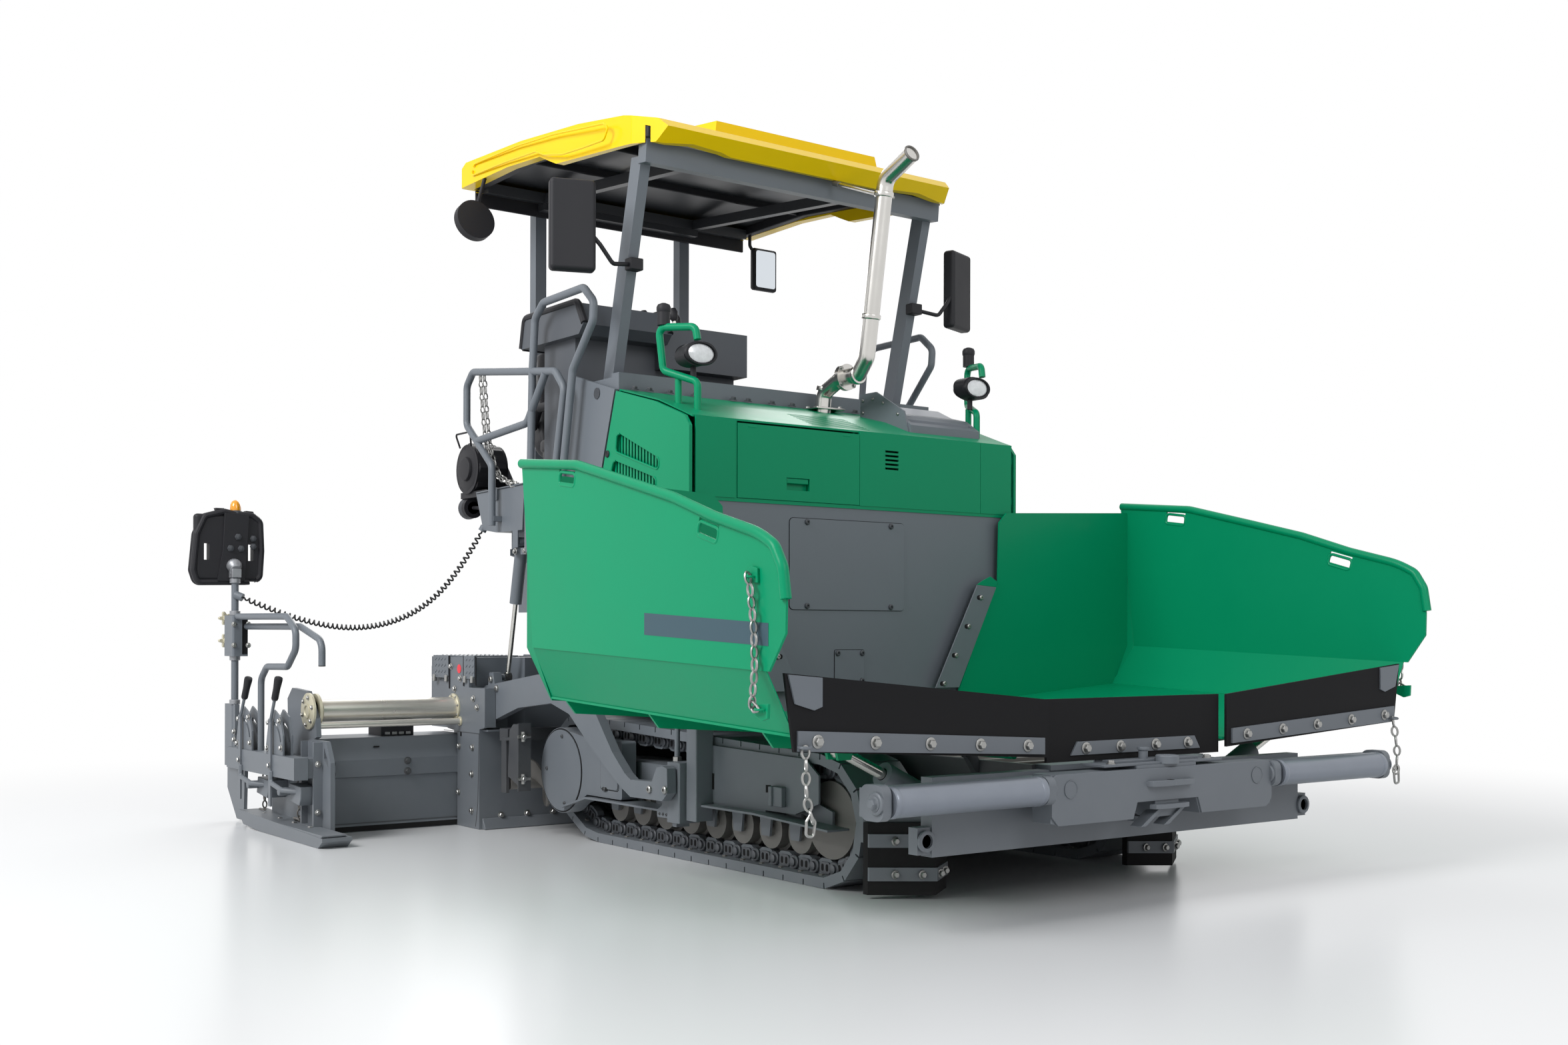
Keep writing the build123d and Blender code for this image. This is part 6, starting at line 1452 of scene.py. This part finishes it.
# ---------------------------------------------------------------- cord and studio
FLOOR_FADE = (2.6, 6.5)               # distances where the floor begins to whiten and is white
SENSOR, LENS = 36.0, 2434.2 / 2352 * 36.0
CAMERA_PLACE = (5.323, -4.324, 0.903)
CAMERA_HEADING, CAMERA_ROLL = 36.596, -0.149
CAMERA_RISE = 0.0711                  # upward shift of the lens, in widths of the frame
CORD_ROUTE = [(-1.698, -0.893, 1.386), (-1.733, -0.935, 1.290), (-1.781, -0.992, 1.180),
              (-1.835, -1.054, 1.085), (-1.896, -1.126, 1.012), (-1.964, -1.206, 0.962),
              (-2.033, -1.286, 0.935), (-2.101, -1.366, 0.926), (-2.170, -1.446, 0.934),
              (-2.239, -1.527, 0.955), (-2.307, -1.607, 0.985), (-2.376, -1.687, 1.024),
              (-2.452, -1.776, 1.070)]
CORD_OUTER = 0.030                    # outside diameter of the curly cord's coils


class PAVER_OT_cord(bpy.types.Operator):
    """Hang the curly cord between the platform and the side control panel"""
    bl_idname = "paver.cord"
    bl_label = "Curly cord"

    def execute(self, context):
        curve = bpy.data.curves.new("cord_route", "CURVE")
        curve.dimensions = "3D"
        spline = curve.splines.new("NURBS")
        spline.points.add(len(CORD_ROUTE) - 1)
        for point, place in zip(spline.points, CORD_ROUTE):
            point.co = (*machine(*place), 1)
        spline.order_u = 3
        spline.use_endpoint_u = True
        spline.resolution_u = 16
        route = bpy.data.objects.new("cord_route", curve)
        bpy.context.scene.collection.objects.link(route)
        line = bpy.data.meshes.new_from_object(route)
        points = np.array([v.co for v in line.vertices])
        bpy.data.objects.remove(route)
        along = np.concatenate([[0], np.cumsum(np.linalg.norm(np.diff(points, axis=0), axis=1))])
        turns, wire = sizes().cord_turns, sizes().cord_wire
        t = np.linspace(0, 1, turns * 12 + 1)
        # the turns crowd together at the bottom of the sag and open towards the ends
        share = t + 0.022 * np.sin(2 * np.pi * t)
        centre = np.column_stack([np.interp(share * along[-1], along, points[:, k]) for k in range(3)])
        _, normal, other = frames_along(centre)
        angle = 2 * np.pi * turns * t[:, None]
        ease = np.clip(np.minimum(t, 1 - t) * turns / 1.5, 0, 1)[:, None]
        helix = centre + (CORD_OUTER - wire) / 2 * ease * (np.cos(angle) * normal + np.sin(angle) * other)
        verts, faces = tube(helix, wire / 2, sides=7)
        cord = mesh_piece("curly_cord", verts, faces, cord_black(), "screed")
        cord.parent = None
        del cord["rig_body"]
        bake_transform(cord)
        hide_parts("cord_right")
        return {"FINISHED"}


def seen_directly(tree):
    """A socket that is 1 for rays from the camera, mirror-like reflections and clear glass, 0 for soft light."""
    path = tree.nodes.new("ShaderNodeLightPath")
    top = path.outputs["Is Camera Ray"]
    for name in ("Is Glossy Ray", "Is Transmission Ray"):
        most = add_node(tree, "ShaderNodeMath", operation="MAXIMUM")
        tree.links.new(top, most.inputs[0])
        tree.links.new(path.outputs[name], most.inputs[1])
        top = most.outputs["Value"]
    return top


class PAVER_OT_stage(bpy.types.Operator):
    """Set the pale floor, the soft studio lamps and the camera"""
    bl_idname = "paver.stage"
    bl_label = "Studio"

    def execute(self, context):
        scene = context.scene
        scene.view_settings.view_transform = "Standard"
        floor_mesh = bpy.data.meshes.new("floor")
        reach = 60.0
        floor_mesh.from_pydata([(-reach, -reach, 0), (reach, -reach, 0), (reach, reach, 0),
                                (-reach, reach, 0)], [],
                               [(0, 1, 2, 3)])
        floor = bpy.data.objects.new("floor", floor_mesh)
        floor.location.z = -0.001
        scene.collection.objects.link(floor)
        made = bpy.data.materials.new("studio_floor")
        made.use_nodes = True
        tree = made.node_tree
        shader = tree.nodes["Principled BSDF"]
        shader.inputs["Base Color"].default_value = (0.78, 0.785, 0.79, 1)
        shader.inputs["Roughness"].default_value = 0.24
        shader.inputs["Specular IOR Level"].default_value = 0.5
        glow = add_node(tree, "ShaderNodeEmission", Color=(1, 1, 1, 1))
        place = add_node(tree, "ShaderNodeTexCoord")
        length = add_node(tree, "ShaderNodeVectorMath", operation="LENGTH")
        tree.links.new(place.outputs["Object"], length.inputs[0])
        far = add_node(tree, "ShaderNodeMapRange", interpolation_type="SMOOTHSTEP")
        far.inputs["From Min"].default_value, far.inputs["From Max"].default_value = FLOOR_FADE
        tree.links.new(length.outputs["Value"], far.inputs["Value"])
        both = add_node(tree, "ShaderNodeMath", operation="MULTIPLY")
        tree.links.new(far.outputs["Result"], both.inputs[0])
        tree.links.new(seen_directly(tree), both.inputs[1])
        mix = add_node(tree, "ShaderNodeMixShader")
        tree.links.new(both.outputs["Value"], mix.inputs["Fac"])
        tree.links.new(shader.outputs["BSDF"], mix.inputs[1])
        tree.links.new(glow.outputs["Emission"], mix.inputs[2])
        tree.links.new(mix.outputs["Shader"], tree.nodes["Material Output"].inputs["Surface"])
        floor_mesh.materials.append(made)

        world = bpy.data.worlds.new("studio_world")
        scene.world = world
        world.use_nodes = True
        sky = world.node_tree
        dim = sky.nodes["Background"]
        dim.inputs["Color"].default_value = (0.93, 0.96, 1.0, 1)
        dim.inputs["Strength"].default_value = 0.5
        white = add_node(sky, "ShaderNodeBackground", Color=(1, 1, 1, 1))
        pick = add_node(sky, "ShaderNodeMixShader")
        sky.links.new(seen_directly(sky), pick.inputs["Fac"])
        sky.links.new(dim.outputs["Background"], pick.inputs[1])
        sky.links.new(white.outputs["Background"], pick.inputs[2])
        sky.links.new(pick.outputs["Shader"], sky.nodes["World Output"].inputs["Surface"])

        # each lamp: name, place, what it looks at, size, watts
        for name, place, target, size, watts in (
                ("key", (0.5, -8.0, 6.5), (0, 0, 1.2), 4.0, 640),
                ("front", (8.5, -1.0, 5.5), (1.0, 0, 0.9), 4.0, 170),
                ("rear", (-7.0, 4.0, 5.5), (0, 0, 1.5), 5.0, 260)):
            lamp = bpy.data.lights.new(name, "AREA")
            lamp.energy, lamp.size = watts, size
            holder = bpy.data.objects.new(name, lamp)
            holder.location = place
            aim = np.array(target, float) - np.array(place, float)
            holder.rotation_mode = "QUATERNION"
            holder.rotation_quaternion = Vector(aim).to_track_quat("-Z", "Y")
            scene.collection.objects.link(holder)

        lens = bpy.data.cameras.new("camera")
        lens.sensor_width = SENSOR
        lens.lens = LENS
        lens.shift_y = CAMERA_RISE
        lens.clip_start = 0.05
        camera = bpy.data.objects.new("camera", lens)
        camera.location = machine(*CAMERA_PLACE)
        camera.rotation_euler = (math.radians(90), math.radians(CAMERA_ROLL),
                                 math.pi / 2 - math.radians(CAMERA_HEADING))
        scene.collection.objects.link(camera)
        scene.camera = camera
        return {"FINISHED"}


class PAVER_PT_sidebar(bpy.types.Panel):
    """The paver's makers, in the order that they run"""
    bl_label = "Asphalt paver"
    bl_idname = "PAVER_PT_sidebar"
    bl_space_type = "VIEW_3D"
    bl_region_type = "UI"
    bl_category = "Paver"

    def draw(self, context):
        column = self.layout.column()
        for group in (context.scene.paver_colours, context.scene.paver_sizes):
            for key in group.__annotations__:
                column.prop(group, key)
        for maker in MAKERS:
            column.operator(maker.bl_idname)


MAKERS = [PAVER_OT_stage, PAVER_OT_hopper, PAVER_OT_push_beam, PAVER_OT_wall, PAVER_OT_hood,
          PAVER_OT_lamps, PAVER_OT_roof, PAVER_OT_seats, PAVER_OT_console, PAVER_OT_platform,
          PAVER_OT_rear_kit, PAVER_OT_mirrors, PAVER_OT_control_panels, PAVER_OT_end_gates,
          PAVER_OT_extensions, PAVER_OT_screed, PAVER_OT_tracks, PAVER_OT_cord, PAVER_OT_paint]
CLASSES = [PaverColours, PaverSizes, *MAKERS, PAVER_PT_sidebar]


def register():
    for one in CLASSES:
        bpy.utils.register_class(one)
    bpy.types.Scene.paver_colours = bpy.props.PointerProperty(type=PaverColours)
    bpy.types.Scene.paver_sizes = bpy.props.PointerProperty(type=PaverSizes)


def unregister():
    del bpy.types.Scene.paver_sizes
    del bpy.types.Scene.paver_colours
    for one in reversed(CLASSES):
        bpy.utils.unregister_class(one)


def main():
    register()
    for maker in MAKERS:
        group, name = maker.bl_idname.split(".")
        getattr(getattr(bpy.ops, group), name)()


if __name__ == "__main__":
    main()
